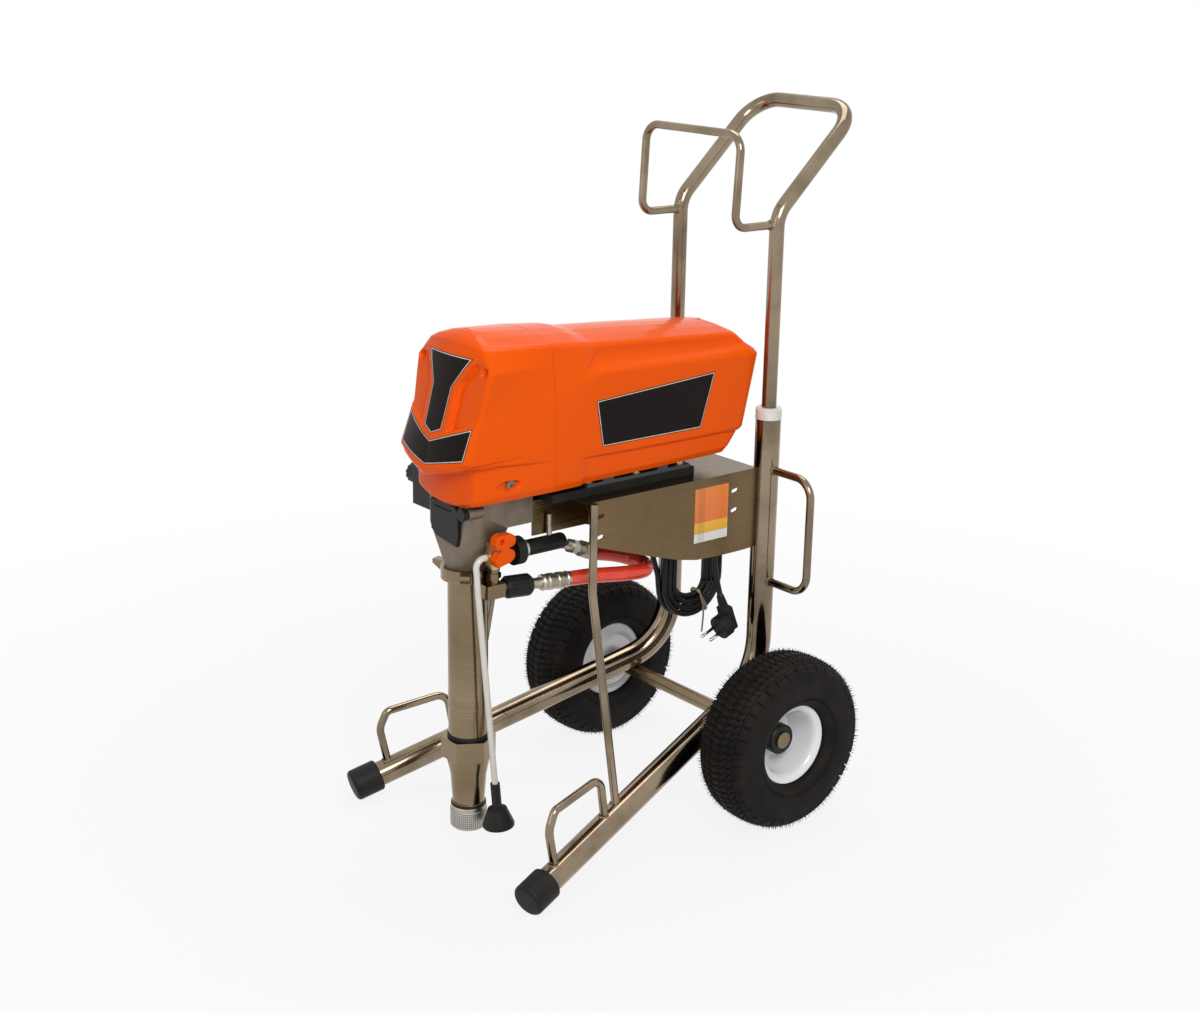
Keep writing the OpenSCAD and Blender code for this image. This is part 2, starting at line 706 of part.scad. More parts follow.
// Closed shell between an outer and an inner grid, s is 1 or -1 for the turn of the faces
module shell(g, t, s) {
  rows = len(g);
  cols = len(g[0]);
  half = (cols - 1) / 2;
  points = [for (grid = [g, inner_grid(g, t, s)]) for (row = grid) for (p = row) p];
  function o(i, j) = i * cols + j;
  function n(i, j) = rows * cols + i * cols + j;
  function quad(a, b, c, d) = [[a, b, c], [a, c, d]];
  faces = [
    for (i = [0:rows - 2]) for (j = [0:cols - 2]) for (f = concat(
      quad(o(i, j), o(i + 1, j), o(i + 1, j + 1), o(i, j + 1)),
      quad(n(i, j), n(i, j + 1), n(i + 1, j + 1), n(i + 1, j)))) f,
    for (j = [0:cols - 2]) for (f = quad(o(0, j), o(0, j + 1), n(0, j + 1), n(0, j))) f,
    for (i = [0:rows - 2]) for (f = concat(
      quad(o(i + 1, 0), o(i, 0), n(i, 0), n(i + 1, 0)),
      quad(o(i, cols - 1), o(i + 1, cols - 1), n(i + 1, cols - 1), n(i, cols - 1)))) f,
    for (j = [0:half - 1]) for (f = concat(
      j == half - 1 ? [[o(rows - 1, j), o(rows - 1, j + 2), o(rows - 1, j + 1)]]
        : quad(o(rows - 1, j), o(rows - 1, cols - 1 - j), o(rows - 1, cols - 2 - j), o(rows - 1, j + 1)),
      j == half - 1 ? [[n(rows - 1, j), n(rows - 1, j + 1), n(rows - 1, j + 2)]]
        : quad(n(rows - 1, j), n(rows - 1, j + 1), n(rows - 1, cols - 2 - j), n(rows - 1, cols - 1 - j)))) f,
    for (f = quad(o(rows - 1, cols - 1), o(rows - 1, 0), n(rows - 1, 0), n(rows - 1, cols - 1))) f
  ];
  polyhedron(points, s > 0 ? faces : [for (f = faces) [f[2], f[1], f[0]]]);
}

module front_cover() {
  color(orange) difference() {
    shell(front_grid, cover_wall, -1);
    // Room for the control panel at the left of the chin
    translate([-100, -house_front - 30, panel_low - 3])
      cube([59, house_front + 30 - panel_back + 2, panel_top - panel_low + 6]);
    // Screw holes in the side and the face
    both_sides() rod_x([60, boss_y, boss_z], 12, 40);
  }
}
module main_shroud() {
  color(orange) shell(shroud_grid, cover_wall, 1);
}
module cover_screws() {
  color([0.3, 0.3, 0.3]) both_sides() difference() {
    union() {
      rod_x([boss_reach - 12, boss_y, boss_z], 4, 13);
      rod_x([boss_reach, boss_y, boss_z], 9, 3);
    }
    translate([boss_reach + 1.5, boss_y, boss_z]) rotate([0, 90, 0]) cylinder(d = 4, h = 3, $fn = 6);
  }
}

// ---------- controls ----------
panel_x = 88;
panel_low = 503;
panel_top = 563;
panel_front = house_front;
panel_back = house_front - 34;
knob_d = 30;
knob_l = 20;
knob_y = -house_front + 17;
knob_z = 541;
knob_shaft_d = 6;
module control_panel() {
  color(black) difference() {
    translate([-panel_x, -panel_front, panel_low])
      cube([panel_x - house_w / 2, panel_front - panel_back, panel_top - panel_low]);
    translate([-panel_x + 4, -panel_front + 4, panel_low + 4])
      cube([panel_x - house_w / 2, panel_front - panel_back - 8, panel_top - panel_low - 8]);
    rod_x([-panel_x - 1, knob_y, knob_z], knob_shaft_d + 2 * run_gap, 8);
  }
}
module control_board() {
  color([0.1, 0.35, 0.2]) {
    translate([-house_w / 2 - 8, -panel_front + 6, panel_low + 6])
      cube([1.6, panel_front - panel_back - 12, panel_top - panel_low - 12]);
    for (z = [516, 550])
      rod_x([-house_w / 2 - 8 + 1.6, knob_y, z], 6, 6.4);
  }
}
module pressure_knob() {
  color(black) {
    difference() {
      rod_x([-panel_x - 1 - knob_l, knob_y, knob_z], knob_d, knob_l);
      for (k = [0:11])
        translate([-panel_x - 1 - knob_l, knob_y, knob_z]) rotate([30 * k, 0, 0])
          rod_x([-1, 0, knob_d / 2 + 1.4], 5, knob_l - 3);
    }
    rod_x([-panel_x - 1 - tiny, knob_y, knob_z], knob_shaft_d, 16);
  }
}
switch_x = 42.5;
switch_z = 519;
switch_d = 18;
switch_shank_d = 12;
switch_travel = 3;
module power_switch() {
  color(black) {
    rod_y([switch_x, -house_front - 6 - switch_travel - 0.3, switch_z], switch_d, 6);
    rod_y([switch_x, -house_front - switch_travel - 0.4, switch_z], switch_shank_d, 12);
  }
}

// ---------- pump ----------
cyl_low = 172;
cyl_top = 436;
function at_pump(z) = [0, pump_y, z];
module pump_cylinder() {
  color([0.55, 0.50, 0.42]) difference() {
    translate(at_pump(cyl_low)) rotate_extrude() {
      polygon([[0, 0], [27, 0], [27, 4], [cylinder_d / 2, 5], [cylinder_d / 2, 412 - cyl_low],
               [neck_bore / 2 - 0.1, 412 - cyl_low], [neck_bore / 2 - 0.1, cyl_top - cyl_low],
               [0, cyl_top - cyl_low]]);
    }
    translate(at_pump(cyl_low - 1)) cylinder(d = cylinder_bore, h = cyl_top - cyl_low + 2);
    rod_x([0, pump_y, elbow_z], 10, 60);
  }
}
nut_r = 38;
lug_r = 55;
lug_angles = [201, 321, 81];
module pump_nut() {
  color([0.58, 0.52, 0.44]) difference() {
    union() {
      translate(at_pump(412)) cylinder(r = nut_r, h = neck_low - 412);
      for (a = lug_angles)
        translate(at_pump(neck_low)) rotate([90, 0, a]) translate([0, 0, -7]) linear_extrude(14)
          polygon([[20, 0], [lug_r, 0], [lug_r, -6], [nut_r - 2, -18], [20, -18]]);
    }
    translate(at_pump(411)) cylinder(d = neck_bore + 0.1, h = 21);
  }
}
module throat_packing() {
  color([0.75, 0.72, 0.62]) difference() {
    union() {
      translate(at_pump(392)) cylinder(d = cylinder_bore - 2 * run_gap, h = cyl_top - 392);
      translate(at_pump(cyl_top)) cylinder(d = cylinder_bore + 9, h = 9);
    }
    translate(at_pump(391)) cylinder(d = pump_rod_d + 2 * run_gap, h = 60);
    for (k = [0:5])
      translate(at_pump(cyl_top + 4)) rotate(60 * k) translate([21, -3, 0]) cube([10, 6, 10]);
  }
}
hex_low = 141;
body_low = 70;
nipple_r = 22;
module intake_housing() {
  color([0.60, 0.56, 0.48]) difference() {
    union() {
      translate(at_pump(hex_low)) cylinder(d = intake_hex / cos(30), h = cyl_low - hex_low, $fn = 6);
      translate(at_pump(0)) rotate_extrude()
        polygon([[0, body_low - 10], [nipple_r, body_low - 10], [nipple_r, body_low], [23, body_low],
                 [26, 112], [32, hex_low], [0, hex_low]]);
      translate(at_pump(cyl_low)) cylinder(d = cylinder_bore - 0.4, h = 18);
    }
    translate(at_pump(120)) cylinder(d = 34, h = cyl_low + 20 - 120);
    translate(at_pump(body_low - 10)) cylinder(d = 18, h = 60);
  }
}
ball_d = 20;
module intake_valve() {
  seat_bore = 15;
  color([0.8, 0.8, 0.82]) {
    difference() {
      translate(at_pump(120)) cylinder(d = 34 - 2 * run_gap, h = 6);
      translate(at_pump(119)) cylinder(d = seat_bore, h = 8);
    }
    translate(at_pump(126 + seat_gap + sqrt(pow(ball_d / 2, 2) - pow(seat_bore / 2, 2))))
      sphere(d = ball_d);
  }
}
strainer_d = 52;
strainer_low = 30;
module strainer() {
  color([0.5, 0.5, 0.48]) difference() {
    translate(at_pump(0)) rotate_extrude() polygon([
      [0, strainer_low], [strainer_d / 2 - 3, strainer_low], [strainer_d / 2, strainer_low + 3],
      [strainer_d / 2, 62], [24, body_low - 0.2], [nipple_r + run_gap, body_low - 0.2],
      [nipple_r + run_gap, 60], [strainer_d / 2 - 2, 58], [strainer_d / 2 - 2, strainer_low + 4],
      [strainer_d / 2 - 4, strainer_low + 2], [0, strainer_low + 2]]);
    for (k = [0:17])
      translate(at_pump(strainer_low + 7)) rotate(20 * k) translate([18, -1.5, 0]) cube([12, 3, 20]);
  }
}

// ---------- fluid line ----------
fluid_x = 49;
elbow_z = 404;
port = [fluid_x, pump_y + 22, elbow_z];
line_dir = unit([11, 146, -9]);
function along_line(t) = port + t * line_dir;
module outlet_elbow() {
  color([0.66, 0.64, 0.56]) difference() {
    union() {
      translate([38, pump_y - 8, elbow_z - 10]) cube([22, 30, 20]);
      rod_x([20, pump_y, elbow_z], 14, 20);
      translate([fluid_x, valve_y, elbow_z + 9]) cylinder(d = 14, h = 435 - elbow_z - 9);
      translate([fluid_x, valve_y, 422]) cylinder(d = 20, h = 7, $fn = 6);
    }
    translate(at_pump(390)) cylinder(d = cylinder_d + 2 * weld_gap, h = 40);
    rod_x([10, pump_y, elbow_z], 7, 40);
  }
}
module coupling_nut() {
  color(black) difference() {
    aim(along_line(5), line_dir) rotate_extrude()
      polygon([[8, 0], [13, 0], [16, 4], [16, 38], [13, 42], [8, 42]]);
    for (k = [0:11])
      aim(along_line(9), line_dir) rotate(30 * k) translate([17.2, 0, 0]) cylinder(d = 4, h = 28);
    aim(along_line(0), line_dir) cylinder(d = 15.6, h = 60);
  }
}
ferrule_d = hose_d + 2;
filter_back = -337;
hose_start = along_line(112 + seat_gap);
hose_end = [1, -248, 406];
filter_z = 454;
filter_join = [fluid_x, filter_back - 15, filter_z];
end_dir = unit(filter_join - hose_end);
module crimp(l) {
  // Crimped ferrule: three swaged grooves
  rotate_extrude() polygon(concat([[0, 0], [ferrule_d / 2 - 1, 0]],
    [for (k = [0:2]) for (q = [[0, 3], [0.8, 5], [0.8, 9], [0, 11]])
      [ferrule_d / 2 - q[0], l * k / 3 + q[1]]],
    [[ferrule_d / 2 - 1, l], [0, l]]));
}
module hose_fittings() {
  color([0.72, 0.71, 0.66]) {
    aim(along_line(1.2), line_dir) cylinder(d = 15.5, h = 65);
    aim(along_line(65), line_dir) crimp(47);
    difference() {
      union() {
        aim(hose_end + seat_gap * end_dir, end_dir) crimp(40);
        aim(hose_end + 39 * end_dir, end_dir) cylinder(d = 14, h = 90);
        aim(hose_end + 60 * end_dir, end_dir) cylinder(d = 22, h = 14, $fn = 6);
      }
      rod_y([fluid_x, filter_front, filter_z], filter_d + 2 * weld_gap, filter_back - filter_front + 20);
      aim(filter_join, end_dir) cylinder(d = 40, h = 60);
    }
  }
}

// Smooth curve through the points p with n steps between each two
function curve_point(a, b, c, d, t) =
  0.5 * (2 * b + (c - a) * t + (2 * a - 5 * b + 4 * c - d) * t * t + (3 * b - a - 3 * c + d) * t * t * t);
function curve(p, n) = let (last = len(p) - 1) concat(
  [for (i = [0:last - 1]) for (k = [0:n - 1])
    curve_point(p[max(i - 1, 0)], p[i], p[i + 1], p[min(i + 2, last)], k / n)],
  [p[last]]);

// Frames carried along a path without twist, and the tube swept on them
function tangent(p, i) = unit(p[min(i + 1, len(p) - 1)] - p[max(i - 1, 0)]);
function carried(p, i, x) = let (t = tangent(p, i)) unit(x - (x * t) * t);
function frames(p, i, x) = i == len(p) ? [] :
  let (xi = carried(p, i, x)) concat([xi], frames(p, i + 1, xi));
module swept(p, d, sides, first_dir = undef, last_dir = undef) {
  n = len(p);
  xs = frames(p, 0, [0.3, 0.9, 0.31]);
  points = [for (i = [0:n - 1])
    let (t = i == 0 && !is_undef(first_dir) ? first_dir
            : i == n - 1 && !is_undef(last_dir) ? last_dir : tangent(p, i),
         x = unit(xs[i] - (xs[i] * t) * t), y = cross(t, x))
    for (k = [0:sides - 1])
      p[i] + d / 2 * (cos(360 * k / sides) * x + sin(360 * k / sides) * y)];
  faces = concat(
    [for (i = [0:n - 2]) for (k = [0:sides - 1])
      let (a = i * sides + k, b = i * sides + (k + 1) % sides)
      for (f = [[a, a + sides, b + sides], [a, b + sides, b]]) f],
    [for (k = [1:sides - 2]) [0, k, k + 1]],
    [for (k = [1:sides - 2]) [(n - 1) * sides, (n - 1) * sides + k + 1, (n - 1) * sides + k]]);
  polyhedron(points, faces);
}

hose_route = [hose_start, hose_start + 12 * line_dir, [62, -298, 395.5], [69, -266, 393], [75.5, -235, 391],
  [75, -209, 390], [57, -192, 390.5], [31, -195, 393], [11, -211, 397],
  hose_end - 14 * end_dir, hose_end];
module whip_hose() {
  color([0.85, 0.12, 0.08]) swept(curve(hose_route, 4), hose_d, 12, line_dir, end_dir);
}

tee_d = 40;
tee_front = pump_y + 40;
tee_t = 14;
ring_t = 8;
module outlet_tee() {
  color(black) {
    rod_y([fluid_x, tee_front, filter_z], tee_d, tee_t);
    translate([fluid_x, tee_front - 18, filter_z]) rotate([-90, 0, 0])
      cylinder(d1 = 9, d2 = 13, h = 18 + tiny);
  }
}
module filter_ring() {
  color([0.75, 0.75, 0.72]) {
    rod_y([fluid_x, tee_front + tee_t, filter_z], 27, ring_t);
  }
}
filter_front = tee_front + tee_t + ring_t;
module filter_bowl() {
  color(black) {
    translate([fluid_x, filter_front, filter_z]) rotate([-90, 0, 0]) rotate_extrude()
      polygon(concat([[0, 0], [filter_d / 2, 0]],
        [for (k = [0:6]) [filter_d / 2 - 6 * (1 - cos(15 * k)),
                          filter_back - filter_front - 6 + 6 * sin(15 * k)]],
        [[0, filter_back - filter_front]]));
  }
}
valve_y = pump_y + 10;
lever_y = pump_y + 9;
lever_z = 476;
lever_x = 55.5;
lever_t = 15;
module prime_valve() {
  color([0.62, 0.50, 0.30]) difference() {
    union() {
      translate([43, pump_y, 440]) cube([12, 22, 34]);
      rod_y([fluid_x, pump_y - 4, 453], 12, 5);
      translate([fluid_x, valve_y, 435]) cylinder(d = 16, h = 6, $fn = 6);
      rod_x([54, lever_y, lever_z - 10], 12, 1.2);
      rod_x([54, lever_y, lever_z - 10], 8, 12);
    }
    rod_y([fluid_x, pump_y - 5, 453], 6, 12);
  }
}
module prime_lever() {
  // Cam lever: a hub with the screw recess, a finger lobe and a curved skirt
  pivot = [lever_y, lever_z - 10];
  color(orange) difference() {
    union() {
      plate_yz(concat([for (a = [90:15:270]) [lever_y + 11 * cos(a), lever_z + 1 + 11 * sin(a)]],
                      [[lever_y - 11, 452], [lever_y - 7, 442], [lever_y + 15, 447]],
                      [for (a = [-60:20:80]) [lever_y + 13 + 9 * cos(a), 457 + 9 * sin(a)]],
                      [[lever_y + 9, 468]],
                      [for (a = [-90:20:90]) [lever_y + 15 + 8 * cos(a), 478 + 9 * sin(a)]]),
               lever_x, lever_t);
    }
    rod_x([lever_x - 1, pivot.x, pivot.y], 8 + 2 * run_gap, 12);
    rod_x([lever_x + 8, lever_y, lever_z + 2], 8, 10);
  }
}
drain_route = [[fluid_x, pump_y - 4, 453], [fluid_x, pump_y - 21, 453], [fluid_x, pump_y - 17, 404],
  [52, pump_y + 11, 100]];
module drain_tube() {
  color([0.86, 0.86, 0.82]) bent(drain_route, [13, 60], drain_d, 1.5);
}
module deflector() {
  tip = drain_route[3];
  dir = unit(tip - drain_route[2]);
  base = tip - 12 * dir;
  color(black) aim(base, dir) rotate_extrude() polygon([
    [drain_d / 2 + run_gap, 0], [7, 0], [7, 36], [14, 40], [23, 64], [23, 67], [20, 67],
    [11, 43], [4, 40], [4, 12 + 1], [drain_d / 2 + run_gap, 12 + 1]]);
}

// ---------- mains cord ----------
gland_y = -176;
cord_x = 30;
gland_l = 14;
module cord_gland() {
  color(black) translate([cord_x, gland_y, box_top - sheet - gland_l]) {
    rotate_extrude() polygon([[0, gland_l], [11, gland_l], [11, 8], [8, 6], [6.5, 0], [0, 0]]);
  }
}
// The hank: racetrack loops that spiral in, climb one layer and spiral out again
coil_y = -84;
coil_loops = 6;
coil_rings = 24;
coil_half_w = 57;
coil_straight = 58;
coil_z = 398;
coil_step = cord_d + 0.8;
coil_last = coil_loops * coil_rings + 11;
coil_turns = coil_last / coil_rings;
function coil_half(t) = coil_half_w - coil_step * min(t, coil_turns - t);
function coil_layer(t) = coil_step * max(0, min(1, 2 * (t - coil_turns / 2) + 0.5));
function coil_point(i) =
  let (j = i % coil_rings, t = i / coil_rings, low = j < 12, w = coil_half(t),
       a = low ? -90 + j * 180 / 11 : 90 + (j - 12) * 180 / 11)
  [cord_x + coil_layer(t), coil_y + w * sin(a), coil_z - w * cos(a) + (low ? -1 : 1) * coil_straight];
coil_path = [for (i = [0:coil_last]) coil_point(i)];
coil_gap = min([for (i = [0:coil_last - 13]) for (j = [i + 13:coil_last])
  norm(coil_path[i] - coil_path[j])]) - cord_d;
function path_length(p) = len(p) < 2 ? 0 :
  [for (i = [0:len(p) - 2]) norm(p[i + 1] - p[i])] * [for (i = [0:len(p) - 2]) 1];
// The hook's bar lies just under the top of the innermost loop
hook_bar_z = min([for (p = coil_path) if (abs(p.y - coil_y) < 5 && p.z > coil_z) p.z])
           - (cord_d + hook_bar) / 2 - seat_gap;
module cord_coil() {
  color(black) swept(coil_path, cord_d, 6, [0, 0, -1], [0, 0, 1]);
}
plug_top = [90, -69.9, 326.3];
plug_tilt = 22;    // the plug hangs at this slant
coil_start = coil_path[0];
coil_end = coil_path[coil_last];
lead_route = [[cord_x, gland_y, box_top - sheet - gland_l], [cord_x, gland_y, 485], [30, -174, 460],
  [30, -167, 432], [30, -158, 402], [30, -149, 374], [30, -143, 356], coil_start];
module cord_lead() {
  color(black) swept(curve(lead_route, 3), cord_d, 8, [0, 0, -1], [0, 0, -1]);
}
tail_route = [coil_end, [39.3, -27, 375], [39.3, -27, 407], [39.3, -27, 441], [39.3, -27, 467],
  [43.6, -31.9, 489.9], [52.7, -42.1, 503.3], [64.6, -55.5, 508.1], [76.6, -68.9, 503.3],
  [85.7, -79.1, 489.9], [90, -84, 467], [90, -84, 441], [90, -84, 407], [90, -81.3, 368], plug_top];
module cord_tail() {
  color(black) swept(curve(tail_route, 3), cord_d, 8, [0, 0, 1], [0, sin(plug_tilt), -cos(plug_tilt)]);
}
plug_pin_gap = 19;
module plug() {
  translate(plug_top) rotate([plug_tilt, 0, 0]) {
    color(black) {
      translate([0, 0, -26]) cylinder(d1 = 16, d2 = 11, h = 26);
      translate([0, 0, -36]) cylinder(d = 22, h = 11);
      translate([-11, -6, -62]) cube([22, 14, 40]);
      rod_y([0, -20, -50], 37, 16);
    }
    color([0.8, 0.8, 0.8]) for (x = [-plug_pin_gap / 2, plug_pin_gap / 2])
      rod_y([x, -39, -50], 4.8, 20);
  }
}
echo(coil_gap = coil_gap, coil_length = path_length(coil_path),
     lead = path_length(curve(lead_route, 3)), tail = path_length(curve(tail_route, 3)));

// ---------- handle ----------
handle_low = upright_top - handle_insert;
module handle_tube() {
  color(steel) {
    bent([[upright_x, 0, handle_low], [upright_x, 0, handle_knee_z],
          [upright_x, handle_back, handle_top_z], [-upright_x, handle_back, handle_top_z],
          [-upright_x, 0, handle_knee_z], [-upright_x, 0, handle_low]],
         [45, 50, 50, 45], handle_d, handle_wall);
    // Glide rings at the lower ends
    both_sides() translate([upright_x, 0, handle_low]) difference() {
      cylinder(d = tube_d - 2 * tube_wall - 2 * run_gap, h = 18);
      translate([0, 0, -1]) cylinder(d = handle_d - handle_wall, h = 20);
    }
  }
}
hook_x = 102;
hook_low_z = 879;
hook_ahead = 80;
module hose_hook() {
  color(steel) difference() {
    bent([[hook_x, -6, hook_low_z], [hook_x, -hook_ahead, hook_low_z],
          [hook_x, -hook_ahead + 7, hook_top_z], [-hook_x, -hook_ahead + 7, hook_top_z],
          [-hook_x, -hook_ahead, hook_low_z], [-hook_x, -6, hook_low_z]],
         [19, 25, 25, 19], rod_d);
    both_sides() translate([upright_x, 0, 700]) cylinder(d = handle_d + 2 * weld_gap, h = 250);
  }
}

// ---------- wheels ----------
rim_half = 29;
bead_r = 51;
rim_r = rim_d / 2;
rim_t = 2.5;
hub_d = 30;
hub_flange_d = 46;

module revolved_x(x) {
  // Revolves a profile drawn as [radius, distance outwards] about the wheel's axis
  translate([x, -axle_ahead, axle_z]) rotate([0, 90, 0]) rotate_extrude($fn = 96) children();
}
function mirrored(pts) = [for (k = [len(pts) - 1:-1:0]) [pts[k].x, -pts[k].y]];
tread_h = 3.5;
tyre_wall = 7;
module tyre() {
  r = tyre_d / 2;
  h = tyre_w / 2;
  mid = (rim_r + r) / 2 - 1;
  // Section points to the right of the wheel's plane: reach outwards, reach below, half-width
  section = function (up_r, low_r, half) [for (a = [-60:15:90])
    [mid + (a < 0 ? low_r : up_r) * sin(a), half * pow(cos(a) + tiny, 0.55)]];
  outer = section(r - mid, 0.7 * (r - mid), h);
  inner = section(r - mid - tread_h - tyre_wall, r - mid - tread_h - tyre_wall, h - tyre_wall);
  color(black) revolved_x(wheel_x) difference() {
    polygon(concat([[bead_r + 0.3, 23.2], [rim_r - 0.8, 25.8], [rim_r + 0.8, 26.6]],
      outer, mirrored(outer),
      [[rim_r + 0.8, -26.6], [rim_r - 0.8, -25.8], [bead_r + 0.3, -23.2]]));
    polygon(concat([[bead_r + 0.5, 25 - tyre_wall]], inner, mirrored(inner),
      [[bead_r + 0.5, -25 + tyre_wall]]));
    for (z = [-26, -9, 9, 26])
      translate([r - tread_h, z - 1.5]) square([tread_h + 1, 3]);
  }
}
module rim() {
  color([0.93, 0.93, 0.92]) revolved_x(wheel_x) polygon([
    [hub_d / 2 + 0.1, -34], [40, -34], [46, -30], [bead_r - rim_t, -24], [bead_r - rim_t, 24],
    [rim_r - rim_t - 1, rim_half - 3], [rim_r - 1, rim_half], [rim_r, rim_half - 1],
    [rim_r - 1, rim_half - rim_t],
    [bead_r + 0.3, 25 - 1], [bead_r, 22], [bead_r, -22], [bead_r + 0.3, -25 + 1],
    [rim_r - 1, -rim_half + rim_t], [rim_r, -rim_half + 1], [rim_r - 1, -rim_half],
    [rim_r - rim_t - 1, -rim_half - 0], [bead_r - rim_t - 2, -26 - rim_t], [44, -32 - rim_t],
    [40, -34 - rim_t], [hub_d / 2 + 0.1, -34 - rim_t]]);
}
module hub() {
  color([0.13, 0.13, 0.13]) revolved_x(wheel_x) {
    polygon([[axle_d / 2 + run_gap, -hub_in], [hub_d / 2, -hub_in], [hub_d / 2, -hub_out - 4],
             [hub_flange_d / 2, -hub_out - 2], [hub_flange_d / 2, hub_out - 2],
             [hub_flange_d / 2 - 2, hub_out], [axle_d / 2 + run_gap, hub_out]]);
  }
}
module tyre_left() { mirror([1, 0, 0]) tyre(); }
module tyre_right() { tyre(); }
module rim_left() { mirror([1, 0, 0]) rim(); }
module rim_right() { rim(); }
module hub_left() { mirror([1, 0, 0]) hub(); }
module hub_right() { hub(); }

// ---------- moving drive parts ----------
module motor_rotor() {
  color([0.65, 0.45, 0.3]) {
    rod_y([0, front_bearing_y - 3, motor_z], shaft_d, -front_bearing_y + 3 - 60);
    rod_y([0, fast_gear_y, motor_z], 12, front_bearing_y - 2 - fast_gear_y);
    spur([0, fast_gear_y, motor_z], fast_module, pinion_teeth, 13, up);
    rod_y([0, -292, motor_z], rotor_d, 134);
    rod_y([0, -145, motor_z], 44, 18);
    // Cooling fan behind the end bell
    difference() {
      rod_y([0, -80, motor_z], 100, 16);
      for (k = [0:8])
        translate([0, -80, motor_z]) rotate([0, 40 * k, 0]) translate([16, 4, -5]) cube([40, 20, 10]);
    }
  }
}
module idler_gear() {
  color([0.6, 0.6, 0.62]) {
    rod_y([0, slow_gear_y, idler_z], idler_shaft_d, fast_gear_y + 14 - slow_gear_y);
    spur([0, slow_gear_y, idler_z], slow_module, idler_small_teeth, slow_gear_w, down, 1);
    spur([0, fast_gear_y, idler_z], fast_module, idler_large_teeth, 12, down, 1);
  }
}
crank_pin_d = 18;
rod_eye_t = 16;
eye_back = pump_y + rod_eye_t / 2;
module crankshaft() {
  color([0.55, 0.55, 0.57]) {
    rod_y([0, slow_gear_y, crank_z], journal_d, crank_bearing_y + 15 - slow_gear_y);
    spur([0, slow_gear_y, crank_z], slow_module, crank_teeth, slow_gear_w, up);
    rod_y([0, web_y, crank_z], 84, slow_gear_y - web_y + tiny);
    rod_y([0, eye_back + 0.5, crank_z + crank_throw], crank_pin_d, web_y - eye_back - 0.5 + tiny);
  }
}
wrist_z = 555;
rod_low = 300;
module pump_rod() {
  eye_z = crank_z + crank_throw;
  color([0.72, 0.72, 0.72]) difference() {
    union() {
      rod_y([0, pump_y - rod_eye_t / 2, eye_z], 34, rod_eye_t);
      rod_y([0, pump_y - rod_eye_t / 2, wrist_z], 28, rod_eye_t);
      translate([-9, pump_y - 5, wrist_z]) cube([18, 10, eye_z - wrist_z]);
      translate(at_pump(wrist_z - 22)) cylinder(d = 26, h = 20);
      translate(at_pump(rod_low)) cylinder(d = pump_rod_d, h = wrist_z - rod_low);
      translate(at_pump(rod_low - 20)) cylinder(d = cylinder_bore - 2 * run_gap, h = 34);
    }
    rod_y([0, pump_y - rod_eye_t, eye_z], crank_pin_d + 0.4, 2 * rod_eye_t);
  }
}

module set_back() {
  translate([0, frame_shift, 0]) children();
}

set_back() frame_tube_left();
set_back() frame_tube_right();
set_back() axle();
set_back() front_hoops();
set_back() struts();
set_back() side_bails();
set_back() foot_caps();
set_back() handle_collars();
set_back() mounting_box();
set_back() cord_hook();
set_back() support_channel();
set_back() motor_pad();
set_back() base_bolts();
set_back() motor_can();
set_back() motor_magnets();
set_back() motor_end_bell();
set_back() shaft_bearings();
set_back() drive_housing();
set_back() rod_cover();
set_back() front_cover();
set_back() main_shroud();
set_back() cover_screws();
set_back() control_panel();
set_back() control_board();
set_back() pump_cylinder();
set_back() pump_nut();
set_back() throat_packing();
set_back() intake_housing();
set_back() intake_valve();
set_back() strainer();
set_back() outlet_elbow();
set_back() coupling_nut();
set_back() hose_fittings();
set_back() whip_hose();
set_back() outlet_tee();
set_back() filter_ring();
set_back() filter_bowl();
set_back() prime_valve();
set_back() drain_tube();
set_back() deflector();
set_back() cord_gland();
set_back() cord_lead();
set_back() cord_coil();
set_back() cord_tail();
set_back() plug();
set_back() handle_tube();
set_back() hose_hook();
set_back() tyre_left();
set_back() tyre_right();
set_back() rim_left();
set_back() rim_right();
set_back() hub_left();
set_back() hub_right();
set_back() motor_rotor();
set_back() idler_gear();
set_back() crankshaft();
set_back() pump_rod();
set_back() prime_lever();
set_back() pressure_knob();
set_back() power_switch();
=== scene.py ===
import math

import bmesh
import bpy
import numpy as np
from mathutils import Matrix, Vector
from mathutils.bvhtree import BVHTree


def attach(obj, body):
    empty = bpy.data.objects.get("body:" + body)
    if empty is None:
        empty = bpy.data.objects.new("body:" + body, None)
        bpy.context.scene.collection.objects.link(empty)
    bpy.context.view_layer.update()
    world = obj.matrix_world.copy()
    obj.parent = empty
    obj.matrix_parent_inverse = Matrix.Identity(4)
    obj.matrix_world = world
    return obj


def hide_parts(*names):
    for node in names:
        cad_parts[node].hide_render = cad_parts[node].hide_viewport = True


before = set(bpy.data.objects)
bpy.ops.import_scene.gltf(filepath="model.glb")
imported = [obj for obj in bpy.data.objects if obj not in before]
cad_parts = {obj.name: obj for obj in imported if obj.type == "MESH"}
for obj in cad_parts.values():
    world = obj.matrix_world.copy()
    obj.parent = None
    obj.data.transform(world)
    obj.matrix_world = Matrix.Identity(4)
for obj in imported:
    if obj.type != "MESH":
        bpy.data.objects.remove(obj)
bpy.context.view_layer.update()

# Metres, +Z up, front towards -Y. Part drawings measure from the plane of the two
# uprights, so most lists below are in millimetres from there and are set back by SET_BACK.
MM = 0.001
SET_BACK = 189.0


def part(points):
    """Points in millimetres from the uprights' plane, as metres in the frame."""
    return (np.asarray(points, float) + [0.0, SET_BACK, 0.0]) * MM


